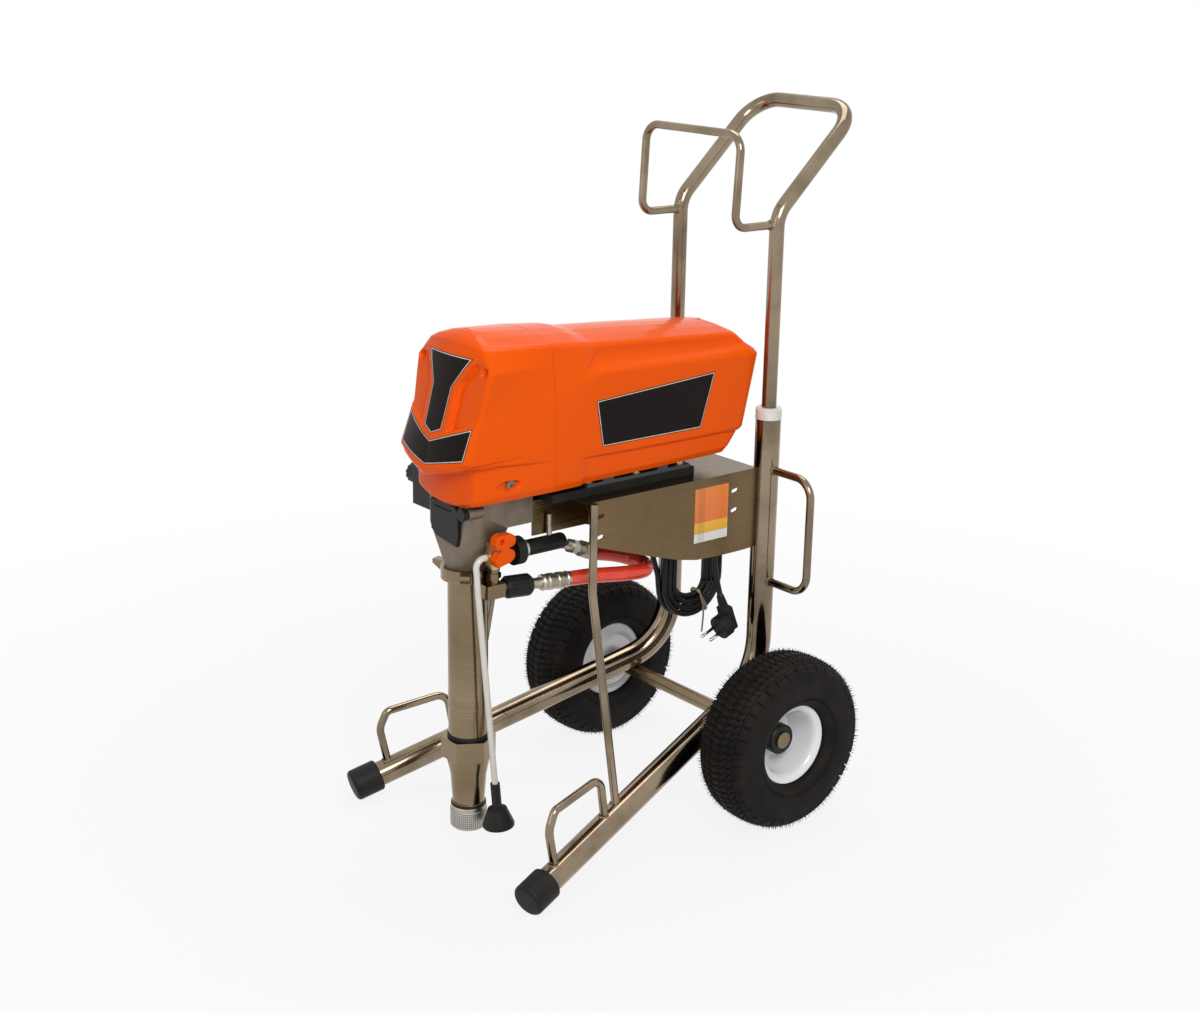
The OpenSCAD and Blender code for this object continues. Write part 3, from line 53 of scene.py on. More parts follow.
# ---------------- camera
AZIMUTH, ELEVATION, ROLL = (math.radians(a) for a in (50.97, 16.92, 1.03))
TARGET, DISTANCE = part([-286.69, 0.03, 359.71]), 3.08353
SENSOR, FRAME_PIXELS, FOCAL_PIXELS = 36.0, 1200, 1841.96
LENS = FOCAL_PIXELS / FRAME_PIXELS * SENSOR


def put(name, data):
    """A new object with this data, in the scene."""
    obj = bpy.data.objects.new(name, data)
    bpy.context.scene.collection.objects.link(obj)
    return obj


def set_camera():
    """Camera on the line from the target, turned by the azimuth, elevation and roll."""
    away = Vector((math.sin(AZIMUTH) * math.cos(ELEVATION),
                   -math.cos(AZIMUTH) * math.cos(ELEVATION), math.sin(ELEVATION)))
    level = (-away).cross(Vector((0, 0, 1))).normalized()
    upright = level.cross(-away)
    right = level * math.cos(ROLL) + upright * math.sin(ROLL)
    up = upright * math.cos(ROLL) - level * math.sin(ROLL)
    data = bpy.data.cameras.new("camera")
    data.sensor_fit, data.sensor_width, data.lens = "HORIZONTAL", SENSOR, LENS
    data.clip_end = 60.0
    camera = put("camera", data)
    turn = Matrix((right, up, away)).transposed().to_4x4()
    camera.matrix_world = Matrix.Translation(Vector(TARGET) + away * DISTANCE) @ turn
    bpy.context.scene.camera = camera


set_camera()


# ---------------- material nodes
def cleared(owner, output):
    """The emptied node tree of a material or a world, and its output node."""
    owner.use_nodes = True
    owner.node_tree.nodes.clear()
    return owner.node_tree, owner.node_tree.nodes.new("ShaderNode" + output)


def paint(name, **shader):
    """A material, its node tree, and its Principled shader with these constants."""
    material = bpy.data.materials.new(name)
    tree, out = cleared(material, "OutputMaterial")
    principled = tree.nodes.new("ShaderNodeBsdfPrincipled")
    tree.links.new(principled.outputs[0], out.inputs[0])
    for key, value in shader.items():
        socket = principled.inputs[key.replace("_", " ")]
        socket.default_value = (*value, 1.0) if isinstance(value, tuple) else value
    return material, tree, principled


def node(tree, kind, inputs=None, **settings):
    """One shader node with its settings; inputs are constants or (node, output) links."""
    made = tree.nodes.new("ShaderNode" + kind)
    for key, value in settings.items():
        setattr(made, key, value)
    for key, value in (inputs or {}).items():
        if isinstance(value, tuple) and len(value) == 2 and hasattr(value[0], "outputs"):
            tree.links.new(value[0].outputs[value[1]], made.inputs[key])
        else:
            made.inputs[key].default_value = value
    return made


def feed(tree, principled, **sources):
    """Links the first output of each node to the shader's socket of that name."""
    for key, source in sources.items():
        tree.links.new(source.outputs[0], principled.inputs[key.replace("_", " ")])


def place(tree, scale=(1, 1, 1), uv=False):
    """Object coordinates, or the piece's own UV map, through a Mapping node."""
    coord = node(tree, "TexCoord")
    return node(tree, "Mapping", {"Vector": (coord, "UV" if uv else "Object"),
                                  "Scale": scale})


def split_uv(tree, scale=(1, 1, 1)):
    """The two directions of the piece's own UV map, each as an output of its own."""
    return node(tree, "SeparateXYZ", {"Vector": (place(tree, scale, True), 0)})


def maths(tree, operation, *terms):
    """A maths node: each term is a number or a (node, output) link."""
    return node(tree, "Math", dict(enumerate(terms)), operation=operation)


def multiply(tree, first, second, share=1.0):
    """The first colour darkened by the second."""
    return node(tree, "MixRGB", {"Fac": share, "Color1": (first, 0),
                                 "Color2": (second, 0)}, blend_type="MULTIPLY")


def noise(tree, where, scale, detail=3.0, rough=0.55):
    """Noise texture over the given coordinates."""
    return node(tree, "TexNoise", {"Vector": (where, 0), "Scale": scale,
                                   "Detail": detail, "Roughness": rough})


def ramp(tree, source, stops):
    """Ramp with (place, colour) stops driven by source's first output; one number is a grey."""
    made = node(tree, "ValToRGB", {"Fac": (source, 0)})
    bar = made.color_ramp
    while len(bar.elements) < len(stops):
        bar.elements.new(0.5)
    for element, (spot, colour) in zip(bar.elements, stops):
        colour = colour if isinstance(colour, tuple) else (colour,) * 3
        element.position, element.color = spot, (*colour, 1.0)
    return made


def spread(tree, source, low, high, start=0.3, end=0.7):
    """The span from start to end of a node's output, laid out from low to high."""
    return node(tree, "MapRange", {"Value": (source, 0), "From Min": start,
                                   "From Max": end, "To Min": low, "To Max": high})


def bump(tree, principled, source, strength, distance):
    """Fine relief in the shading only, its height from a node's output."""
    feed(tree, principled, Normal=node(tree, "Bump", {
        "Height": (source, 0), "Strength": strength, "Distance": distance}))


def finish(name, colour, dark, rough, grain=900.0, cloud=14.0, relief=0.0, **shader):
    """Colour drifting between two tones over cloud, with fine grain in gloss and relief."""
    material, tree, principled = paint(name, **shader)
    where = place(tree)
    drift = noise(tree, where, cloud, 4.0)
    fine = noise(tree, where, grain, 2.0)
    feed(tree, principled, Base_Color=ramp(tree, drift, [(0.3, dark), (0.62, colour)]),
         Roughness=spread(tree, fine, *rough))
    if relief:
        bump(tree, principled, fine, 0.35, relief)
    return material


def worn_tube(name, colour, dark, rough):
    """Plated tube: drifting tint, faint polishing lines and small dull spots."""
    material, tree, principled = paint(name, Metallic=1.0)
    where = place(tree)
    drift = noise(tree, where, 9.0, 5.0, 0.6)
    spots = noise(tree, where, 260.0, 3.0, 0.7)
    lines = noise(tree, place(tree, (900, 900, 60)), 1.0, 2.0)
    tint = ramp(tree, drift, [(0.32, dark), (0.6, colour)])
    speck = ramp(tree, spots, [(0.70, 1.0), (0.80, (0.62, 0.56, 0.48))])
    feed(tree, principled, Base_Color=multiply(tree, tint, speck, 0.25),
         Roughness=spread(tree, drift, *rough, 0.35, 0.75))
    bump(tree, principled, lines, 0.05, 0.00003)
    return material


def tinted_metal(name, colour, dark, rough, direction, grain, relief=0.0002):
    """Brushed metal: long scratches along one direction over a drifting tint."""
    material, tree, principled = paint(name, Metallic=1.0)
    drift = noise(tree, place(tree), 7.0, 4.0)
    lines = noise(tree, place(tree, direction), grain, 3.0, 0.65)
    tint = ramp(tree, drift, [(0.3, dark), (0.65, colour)])
    streak = ramp(tree, lines, [(0.25, 0.78), (0.7, 1.0)])
    feed(tree, principled, Base_Color=multiply(tree, tint, streak),
         Roughness=spread(tree, lines, *rough))
    bump(tree, principled, lines, 0.3, relief)
    return material


satin_steel = worn_tube("satin_steel", (0.30, 0.235, 0.165), (0.15, 0.112, 0.074), (0.09, 0.20))
axle_steel = worn_tube("axle_steel", (0.27, 0.20, 0.125), (0.17, 0.12, 0.075), (0.22, 0.38))
brushed_sheet = tinted_metal("brushed_sheet", (0.20, 0.135, 0.07), (0.15, 0.10, 0.052),
    (0.20, 0.34), (900, 14, 900), 1.0)
pump_metal = tinted_metal("pump_metal", (0.31, 0.23, 0.145), (0.20, 0.145, 0.085), (0.13, 0.24),
    (2, 2, 700), 1.0, 0.00002)
zinc = finish("zinc", (0.52, 0.48, 0.40), (0.36, 0.32, 0.25), (0.26, 0.44), 700.0, 60.0, 0.0001,
    Metallic=1.0)
bright_steel = finish("bright_steel", (0.74, 0.74, 0.75), (0.60, 0.60, 0.61), (0.12, 0.25),
    Metallic=1.0)
dark_steel = finish("dark_steel", (0.30, 0.29, 0.28), (0.20, 0.19, 0.18), (0.3, 0.5), Metallic=1.0)
cast_alloy = finish("cast_alloy", (0.24, 0.195, 0.15), (0.165, 0.13, 0.095), (0.42, 0.62), 420.0,
    22.0, 0.0005, Metallic=0.7)
brass = finish("brass", (0.62, 0.47, 0.24), (0.42, 0.31, 0.15), (0.28, 0.45), 500.0, 90.0, 0.0001,
    Metallic=1.0)
orange = finish("orange_plastic", (0.88, 0.099, 0.0006), (0.84, 0.092, 0.0005), (0.16, 0.24),
    1500.0, 5.0, 0.00002, Specular_IOR_Level=0.1)
black_plastic = finish("black_plastic", (0.012, 0.011, 0.010), (0.007, 0.007, 0.006), (0.30, 0.50),
    1100.0, 30.0, 0.00012, Specular_IOR_Level=0.22)
rubber = finish("black_rubber", (0.014, 0.013, 0.012), (0.008, 0.007, 0.007), (0.45, 0.65), 800.0,
    45.0, 0.0002, Specular_IOR_Level=0.2)
cord_rubber = finish("cord_rubber", (0.010, 0.010, 0.010), (0.006, 0.006, 0.006), (0.34, 0.48),
    1300.0, 60.0, 0.0001, Specular_IOR_Level=0.25)
white_plastic = finish("white_plastic", (0.80, 0.79, 0.74), (0.66, 0.64, 0.58), (0.32, 0.5), 700.0,
    60.0)
white_paint = finish("white_paint", (0.90, 0.91, 0.91), (0.86, 0.87, 0.87), (0.16, 0.26), 300.0,
    18.0, 0.0002, Coat_Weight=0.6, Coat_Roughness=0.08)
red_hose = finish("red_hose", (0.85, 0.055, 0.022), (0.74, 0.035, 0.014), (0.18, 0.30), 500.0, 40.0,
    0.0, Coat_Weight=0.4, Coat_Roughness=0.1)
milky_tube = finish("milky_tube", (0.70, 0.68, 0.62), (0.66, 0.63, 0.56), (0.12, 0.2), 600.0, 30.0)
motor_paint = finish("motor_paint", (0.05, 0.05, 0.052), (0.03, 0.03, 0.032), (0.35, 0.5), 300.0,
    20.0, 0.0002)
copper = finish("rotor_copper", (0.52, 0.25, 0.12), (0.30, 0.15, 0.08), (0.3, 0.5), 400.0, 90.0,
    Metallic=1.0)
board_green = finish("board_green", (0.03, 0.20, 0.08), (0.02, 0.13, 0.05), (0.3, 0.5))
packing = finish("packing_leather", (0.50, 0.40, 0.26), (0.34, 0.26, 0.16), (0.5, 0.8), 300.0, 60.0,
    0.0004)
weld_steel = finish("weld_steel", (0.30, 0.235, 0.17), (0.15, 0.11, 0.07), (0.35, 0.55), 600.0,
    160.0, 0.0002, Metallic=1.0)
tie_wire = finish("tie_wire", (0.34, 0.26, 0.17), (0.24, 0.18, 0.11), (0.3, 0.5), 500.0, 80.0,
    0.0001, Metallic=0.4)

NODE_FINISH = {
    satin_steel: "frame_tube_left frame_tube_right front_hoops struts side_bails cord_hook "
                 "handle_tube hose_hook",
    axle_steel: "axle",
    zinc: "base_bolts filter_ring hose_fittings strainer",
    brushed_sheet: "mounting_box support_channel",
    white_plastic: "handle_collars",
    rubber: "foot_caps motor_pad cord_gland plug tyre_left tyre_right",
    motor_paint: "motor_can motor_end_bell motor_magnets",
    bright_steel: "shaft_bearings intake_valve pump_rod",
    cast_alloy: "drive_housing",
    black_plastic: "deflector rod_cover control_panel coupling_nut outlet_tee filter_bowl "
                   "pressure_knob power_switch hub_left hub_right",
    orange: "front_cover main_shroud prime_lever",
    board_green: "control_board",
    pump_metal: "pump_cylinder pump_nut intake_housing outlet_elbow",
    packing: "throat_packing",
    red_hose: "whip_hose",
    brass: "prime_valve",
    milky_tube: "drain_tube",
    white_paint: "rim_left rim_right",
    copper: "motor_rotor",
    dark_steel: "idler_gear crankshaft cover_screws",
    cord_rubber: "cord_lead cord_coil cord_tail",
}


CREASE, FITTING_CREASE = 32.0, 18.0
MERGE = 0.00002


def dress(name, material, crease):
    """Gives a frame node its finish and smooth shading between its sharp edges."""
    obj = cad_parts[name]
    obj.data.materials.clear()
    obj.data.materials.append(material)
    obj.data.polygons.foreach_set("use_smooth", np.ones(len(obj.data.polygons), bool))
    obj.modifiers.new("weld", "WELD").merge_threshold = MERGE
    obj.modifiers.new("edges", "EDGE_SPLIT").split_angle = math.radians(crease)


for finish_of, names in NODE_FINISH.items():
    for each in names.split():
        dress(each, finish_of, FITTING_CREASE if each == "hose_fittings" else CREASE)


# ---------------- surfaces
def grid_faces(rows, cols, close_rows=False, close_cols=False):
    """Quads of a grid of rows by cols points, row by row, closed round where asked."""
    i = np.arange(rows if close_rows else rows - 1)[:, None]
    j = np.arange(cols if close_cols else cols - 1)[None, :]
    a, b = (i % rows) * cols + j, ((i + 1) % rows) * cols + j
    c, d = ((i + 1) % rows) * cols + (j + 1) % cols, (i % rows) * cols + (j + 1) % cols
    return np.stack([a, b, c, d], -1).reshape(-1, 4)


def capped_faces(rings, sides):
    """Faces of a tube of that many rings, with one face over each end."""
    ends = [list(range(sides)), [(rings - 1) * sides + k for k in reversed(range(sides))]]
    return grid_faces(rings, sides, close_cols=True)[:, ::-1].tolist() + ends


def full_turn(count):
    """Even angles once round."""
    return np.linspace(0, 2 * np.pi, count, endpoint=False)


def spokes(axis, count, square_to=(0.31, 0.9, 0.3)):
    """The unit axis, and unit vectors across it at even angles, the first one square to the
    given direction."""
    axis = np.asarray(axis, float) / np.linalg.norm(axis)
    side = np.cross(axis, square_to)
    side /= np.linalg.norm(side)
    turn = full_turn(count)[:, None]
    return axis, np.cos(turn) * side + np.sin(turn) * np.cross(axis, side)


def add_piece(name, points, faces, material, body="cart", uv=None, smooth=True):
    """A mesh from points and faces, with its finish, riding on a body."""
    mesh = bpy.data.meshes.new(name)
    mesh.from_pydata(np.asarray(points).reshape(-1, 3).tolist(), [],
                     np.asarray(faces, dtype=object).tolist())
    mesh.materials.append(material)
    if uv is not None:
        layer = mesh.uv_layers.new(name="own")
        corner = np.empty(len(mesh.loops), int)
        mesh.loops.foreach_get("vertex_index", corner)
        layer.data.foreach_set("uv", np.asarray(uv).reshape(-1, 2)[corner].ravel())
    mesh.polygons.foreach_set("use_smooth", np.full(len(mesh.polygons), smooth))
    mesh.update()
    obj = put(name, mesh)
    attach(obj, body)
    return obj


def catmull(points, steps):
    """Smooth curve through points: on each span the cubic whose slope at a point is
    half the way between its two neighbours."""
    p = np.asarray(points, float)
    q = np.vstack([p[:1], p, p[-1:]])
    t = (np.arange(steps) / steps)[None, :, None]
    a, b, c, d = (q[k:len(q) - 3 + k][:, None, :] for k in range(4))
    inner = 0.5 * (2 * b + (c - a) * t + (2 * a - 5 * b + 4 * c - d) * t ** 2
                   + (3 * b - a - 3 * c + d) * t ** 3)
    return np.vstack([inner.reshape(-1, p.shape[1]), p[-1:]])


def tube_along(path, radius, sides, start=None, end=None):
    """Points of a round tube: at each point of the path a ring of radius in the plane
    across the path, its first direction carried along without twist."""
    path = np.asarray(path, float)
    tangent = np.gradient(path, axis=0)
    if start is not None:
        tangent[0] = start
    if end is not None:
        tangent[-1] = end
    tangent /= np.linalg.norm(tangent, axis=1)[:, None]
    side = np.empty_like(path)
    x = np.array([0.3, 0.9, 0.31])
    for i, t in enumerate(tangent):
        x = x - t * (x @ t)
        x /= np.linalg.norm(x)
        side[i] = x
    other = np.cross(tangent, side)
    turn = full_turn(sides)[None, :, None]
    radius = np.broadcast_to(np.asarray(radius, float), (len(path),))[:, None, None]
    return path[:, None] + radius * (np.cos(turn) * side[:, None] + np.sin(turn) * other[:, None])


def capped_tube(name, path, radius, sides, material, **ends):
    """A tube along a path with flat ends."""
    rings = tube_along(path, radius, sides, **ends)
    return add_piece(name, rings, capped_faces(len(rings), sides), material)


def turned_piece(name, middle, axis, profile, material, sides=64, body="cart"):
    """A closed profile of (distance along the axis, radius) points, turned about the axis."""
    axis, spin = spokes(axis, sides)
    along, radius = np.asarray(profile, float).T
    points = np.asarray(middle, float) + along[:, None, None] * axis + radius[:, None, None] * spin
    faces = grid_faces(len(along), sides, True, True)
    swept = np.sum(along * np.roll(radius, -1) - np.roll(along, -1) * radius)
    return add_piece(name, part(points), faces[:, ::-1] if swept < 0 else faces, material, body)


def moulded(name, node_name, material, cell, body="cart"):
    """Moulded piece with softened edges: the drawing's solid, merged and cut into even cells
    of one size, each point then moved towards the mean of its neighbours a few times."""
    shape = bmesh.new()
    shape.from_mesh(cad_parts[node_name].data)
    bmesh.ops.remove_doubles(shape, verts=shape.verts, dist=0.00001)
    mesh = bpy.data.meshes.new(name)
    shape.to_mesh(mesh)
    shape.free()
    rough = put(name + "_rough", mesh)
    cells = rough.modifiers.new("cells", "REMESH")
    cells.mode, cells.voxel_size = "VOXEL", cell * MM
    soft = rough.modifiers.new("soft", "SMOOTH")
    soft.factor, soft.iterations = 0.5, 7
    even = rough.evaluated_get(bpy.context.evaluated_depsgraph_get()).to_mesh()
    points = np.empty(len(even.vertices) * 3)
    even.vertices.foreach_get("co", points)
    faces = np.array([tuple(face.vertices) for face in even.polygons])
    bpy.data.objects.remove(rough)
    piece = add_piece(name, points.reshape(-1, 3), faces, material, body)
    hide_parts(node_name)
    return piece


# ---------------- mains cord
CORD = 8.5
COIL_POINTS, LOOP_POINTS = 156, 24
COIL_TURNS = (COIL_POINTS - 1) / LOOP_POINTS
COIL_Y, COIL_Z, COIL_X = -84.0, 398.0, 30.0
COIL_WIDE, COIL_TALL, COIL_STEP = 57.0, 58.0, 9.3


def coil_route():
    """The hank: racetrack loops that spiral in, climb one layer, and spiral out again.
    A loop is two half circles whose radius falls by one step a turn to the middle."""
    i = np.arange(COIL_POINTS)
    turn, j = i / LOOP_POINTS, i % LOOP_POINTS
    half = LOOP_POINTS // 2
    low = j < half
    angle = np.radians(np.where(low, -90, 90) + j % half * 180 / (half - 1))
    wide = COIL_WIDE - COIL_STEP * np.minimum(turn, COIL_TURNS - turn)
    layer = COIL_STEP * np.clip(2 * (turn - COIL_TURNS / 2) + 0.5, 0, 1)
    return np.stack([COIL_X + layer, COIL_Y + wide * np.sin(angle),
                     COIL_Z - wide * np.cos(angle) + np.where(low, -COIL_TALL, COIL_TALL)], 1)


lead = [[30, -176, 505], [30, -176, 485], [30, -174, 460], [30, -167, 432], [30, -158, 402],
        [30, -149, 374], [30, -143, 356]]
tail = [[39.3, -27, 375], [39.3, -27, 407], [39.3, -27, 441], [39.3, -27, 467],
        [43.6, -31.9, 489.9], [52.7, -42.1, 503.3], [64.6, -55.5, 508.1], [76.6, -68.9, 503.3],
        [85.7, -79.1, 489.9], [90, -84, 467], [90, -84, 441], [90, -84, 407], [90, -81.3, 368],
        [90, -69.9, 326.3]]
PLUG_TILT = math.radians(22)
PIN_HALF_PITCH, PIN_ROOT_Y, PIN_ROOT_Z = 9.5, -27.5, -50
cord_path = part(catmull(np.vstack([lead, coil_route(), tail]), 3))
mains_cord = capped_tube("mains_cord", cord_path, CORD / 2 * MM, 14, cord_rubber,
                         start=(0, 0, -1), end=(0, math.sin(PLUG_TILT), -math.cos(PLUG_TILT)))
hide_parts("cord_lead", "cord_coil", "cord_tail")
plug_parts = [moulded("plug_body", "plug", rubber, 0.8)]
plug_turn = Matrix.Rotation(PLUG_TILT, 3, "X")
for x, hand in ((-PIN_HALF_PITCH, "left"), (PIN_HALF_PITCH, "right")):
    root = tail[-1] + np.array(plug_turn @ Vector((x, PIN_ROOT_Y, PIN_ROOT_Z)))
    plug_parts.append(turned_piece(
        f"plug_pin_{hand}", root, plug_turn @ Vector((0, -1, 0)),
        [(0, 0.02), (0, 2.5), (19, 2.5), (20.9, 1.9), (21.4, 0.8), (21.45, 0.02)],
        bright_steel, 24))

# ---------------- moulded covers
# Levels from the chin up to the crown: (x, z) at the seam and at the front corner, y of the
# corner and its radius, (y, z) at the middle of the face, power of the fall towards it
FRONT_LEVELS = [
    ([(86, 541), (66, 534)], -500, 9, (-507, 526), 2),
    ([(91, 552), (70, 541)], -504, 8, (-513, 532), 2),
    ([(91.5, 585), (71, 587)], -504, 8, (-513, 569), 1),
    ([(91.5, 588), (81, 592)], -522, 8, (-538, 571), 1),
    ([(91.5, 594), (82, 600)], -524, 8, (-541, 577), 1),
    ([(90, 671), (80, 657)], -503, 6, (-519, 655), 1),
    ([(84, 717), (88, 718)], -489, 7, (-501, 720), 2),
    ([(80, 741), (68, 744)], -484, 12, (-491, 750), 2),
    ([(74, 746), (60, 750)], -478, 16, (-484, 757), 2),
    ([(45, 753), (40, 757)], -470, 16, (-474, 762), 2),
    ([(20, 756.5), (18, 762)], -466, 10, (-468, 763), 2)]
# The shroud's levels: x and z at each of four places along the side, the rear corner, its
# radius, (y, z) at the middle of the rear
SEAM_Y, SEAM_HALF = -385, 0.3
SHROUD_Y = [SEAM_Y + SEAM_HALF, -332, -306, -202]
SHROUD_LEVELS = [
    ([86, 86, 85, 85], [541, 542, 543, 544], (83, -60, 546), 14, (-59, 546)),
    ([91, 91, 89, 89], [552, 553, 552, 553], (88, -54, 556), 14, (-52, 556)),
    ([91.5, 91.5, 89, 89], [576, 577, 578, 578], (88, -36, 579), 14, (-33, 579)),
    ([91.5, 91.5, 92, 92], [582, 583, 583, 583], (91, -33, 584), 14, (-30, 584)),
    ([90, 90, 90.5, 90.5], [671, 688, 697, 695], (90, -7, 690), 14, (-4, 690)),
    ([87, 86, 85, 85], [694, 702, 706, 703], (84, -11, 697), 12, (-8, 697)),
    ([84, 82, 76, 76], [717, 719, 720, 715], (75, -21, 705), 12, (-18, 705)),
    ([80, 77, 72, 72], [741, 736, 732, 726], (71, -32, 716), 12, (-29, 717)),
    ([74, 71, 67, 67], [746, 741, 737, 731], (66, -38, 721), 12, (-35, 723)),
    ([45, 44, 42, 42], [753, 749, 743, 737], (41, -45, 727), 10, (-43, 729)),
    ([20, 20, 20, 20], [756.5, 753, 747, 741], (19, -52, 730), 8, (-50, 731.5))]
COVER_WALL = 3.0
DEEPEST = 9.0
CROWN_STEP, CROWN_MERGE = 1.0, 0.00005
RIM_BEVEL = 0.0005


def level_contour(side, radius, mid, power, side_rows, corner_rows, face_rows):
    """Half of one contour seen from above: straight spans of the side, a quadratic curve
    round the corner, and an end face whose depth follows the square of the distance from
    the middle while its height follows the given power of it."""
    side = np.asarray(side, float)
    corner, before = side[-1], side[-2]
    back = corner + (before - corner) / np.linalg.norm(before - corner) * radius

    def face(x):
        x = np.asarray(x, float)[:, None]
        share = x / corner[0]
        return np.hstack([x, mid[0] + (corner[1] - mid[0]) * share ** 2,
                          mid[1] + (corner[2] - mid[1]) * share ** power])

    front = face([corner[0] - radius])[0]
    knots = np.vstack([side[:-1], back])
    t = np.linspace(0, 1, side_rows, endpoint=False)[:, None]
    spans = [a + (b - a) * t for a, b in zip(knots[:-1], knots[1:])]
    t = np.linspace(0, 1, corner_rows, endpoint=False)[:, None]
    bend = (1 - t) ** 2 * back + 2 * t * (1 - t) * corner + t ** 2 * front
    return np.vstack(spans + [bend, face(np.linspace(corner[0] - radius, 0, face_rows))])


def soften(grid, axis, times):
    """Rounds the creases across one axis by repeated quarter-half-quarter averages,
    with the first and last lines held."""
    grid = np.moveaxis(grid, axis, 0)
    for _ in range(times):
        grid[1:-1] = 0.25 * grid[:-2] + 0.5 * grid[1:-1] + 0.25 * grid[2:]
    return np.moveaxis(grid, 0, axis)


def cover_grid(contours, step=1.7):
    """Levels joined by straight rulings about one step long, mirrored to the left side,
    closed over the crown along the middle line, and softened both ways."""
    crown = contours[-1] * [0, 1, 1] + [0, 0, CROWN_STEP]
    levels = contours + [crown]
    rows = []
    for a, b in zip(levels[:-1], levels[1:]):
        count = max(2, int(np.ceil(np.linalg.norm(b - a, axis=1).mean() / step)))
        rows += [a + (b - a) * k / count for k in range(count)]
    rows.append(crown)
    right = np.stack(rows)
    left = right[:, -2::-1] * [-1, 1, 1]
    grid = np.concatenate([right, left], axis=1)
    spine = grid[-1].copy()
    grid = soften(soften(grid, 0, 1), 1, 2)
    grid[-1] = spine
    return grid


def front_contours():
    """The front cover's levels as contours, each from the seam to the middle of the face."""
    return [level_contour([[seam[0], SEAM_Y - SEAM_HALF, seam[1]], [corner[0], y, corner[1]]],
                          radius, mid, power, 36, 12, 58)
            for (seam, corner), y, radius, mid, power in FRONT_LEVELS]


def shroud_contours():
    """The shroud's levels as contours, each from the seam to the middle of the rear."""
    return [level_contour([*zip(xs, SHROUD_Y, zs), corner], radius, mid, 2, 18, 10, 24)
            for xs, zs, corner, radius, mid in SHROUD_LEVELS]


def ease(t):
    """Smooth step from 0 to 1: three times the square less twice the cube."""
    t = np.clip(t, 0, 1)
    return t * t * (3 - 2 * t)


def make_cover(name, grid, node_name, turned):
    """A cover of even wall thickness inside its grid, with small bevels on the rims."""
    faces = grid_faces(*grid.shape[:2])
    cover = add_piece(name, part(grid), faces[:, ::-1] if turned else faces, orange)
    cover.modifiers.new("merge", "WELD").merge_threshold = CROWN_MERGE
    wall = cover.modifiers.new("wall", "SOLIDIFY")
    wall.thickness, wall.offset = COVER_WALL * MM, -1.0
    edge = cover.modifiers.new("edge", "BEVEL")
    edge.width, edge.segments, edge.limit_method = RIM_BEVEL, 2, "ANGLE"
    edge.angle_limit = math.radians(55)
    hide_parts(node_name)


def pressed(grid, depth, turned):
    """Moves each point inwards along the surface's normal, the cross product of the
    differences along and across the grid, by its depth in millimetres."""
    normal = np.cross(np.gradient(grid, axis=1), np.gradient(grid, axis=0))
    normal /= np.maximum(np.linalg.norm(normal, axis=-1), 1e-9)[..., None]
    return grid - normal * (-1 if turned else 1) * np.clip(depth, 0, DEEPEST)[..., None]


def hollow(grid, middle, long, short, slant, depth):
    """Depth of an oval screw pocket on both sides: it deepens from its front to its rear
    end and rises steeply at its rim. The oval lies in the Y-Z plane round the middle, its
    long axis slanted in degrees."""
    dy, dz = grid[..., 1] - middle[0], grid[..., 2] - middle[1]
    c, n = math.cos(math.radians(slant)), math.sin(math.radians(slant))
    back = (dy * c + dz * n) / long
    far = np.hypot(back, (dz * c - dy * n) / short)
    return depth * ease((1 - far) / 0.28) * (0.3 + 0.7 * ease(back + 0.7))


def front_relief(grid):
    """The face's flanks fall back beside a raised middle panel above the chevron. Round
    pockets sink in at its top corners and oval ones in the chin's sides. Below the visor the
    side falls in behind a line that climbs and dies out to the rear."""
    across, along, height = np.abs(grid[..., 0]), grid[..., 1], grid[..., 2]
    panel = np.interp(height, [630, 690, 700, 735], [30, 30, 34, 60])
    fall = (DEEPEST * ease((across - panel) / 2.2) * np.clip((82 - across) / (82 - panel), 0, 1)
            * ease((height - 622 - 0.37 * across) / 2.5) * ease((732 - height) / 12)
            * ease((-478 - along) / 8))
    grid[..., 1] += fall
    corner = DEEPEST * ease((1 - np.hypot(across - 73, height - 717.5) / 6.8) / 0.25)
    chin = hollow(grid, (-455, 559.5), 19, 7, 8, 8.5) * (across > 60)
    visor = np.interp(along, [-505, -430], [596.3, 600.1])
    under = (2.6 * ease((visor - height) / 1.5) * ease((height - visor + 16) / 14)
             * ease((-424 - along) / 40) * ease((across - 60) / 20))
    return pressed(grid, corner * (along < -470) + chin + under, True)


def shroud_relief(grid):
    """A hollow band runs back along the shoulder from a slanting step, and the skirt below
    the ledge is set in behind a groove."""
    along, height = grid[..., 1], grid[..., 2]
    band_low = np.interp(along, [-334, -185, -9], [699, 696, 693])
    band_high = np.interp(along, [-295, -180, -36], [735, 727, 721])
    share = (height - band_low) / (band_high - band_low)
    band = (4.2 * ease((along + 334 - (height - 699) * 1.08) / 4) * ease(share / 0.45)
            * ease((1 - share) / 0.35) * ease((-22 - along) / 70))
    ledge = np.interp(along, [-334, -33], [582.5, 578.5])
    groove = 1.6 * np.exp(-((height - ledge + 2) / 1.4) ** 2)
    skirt = (2.4 * ease((ledge - height) / 1.5) + groove) * ease((along + 337) / 5)
    return pressed(grid, band + skirt * ease((-30 - along) / 6), False)


front_grid = front_relief(cover_grid(front_contours()))
shroud_grid = shroud_relief(cover_grid(shroud_contours()))
make_cover("front_cover_skin", front_grid, "front_cover", False)
make_cover("main_shroud_skin", shroud_grid, "main_shroud", True)

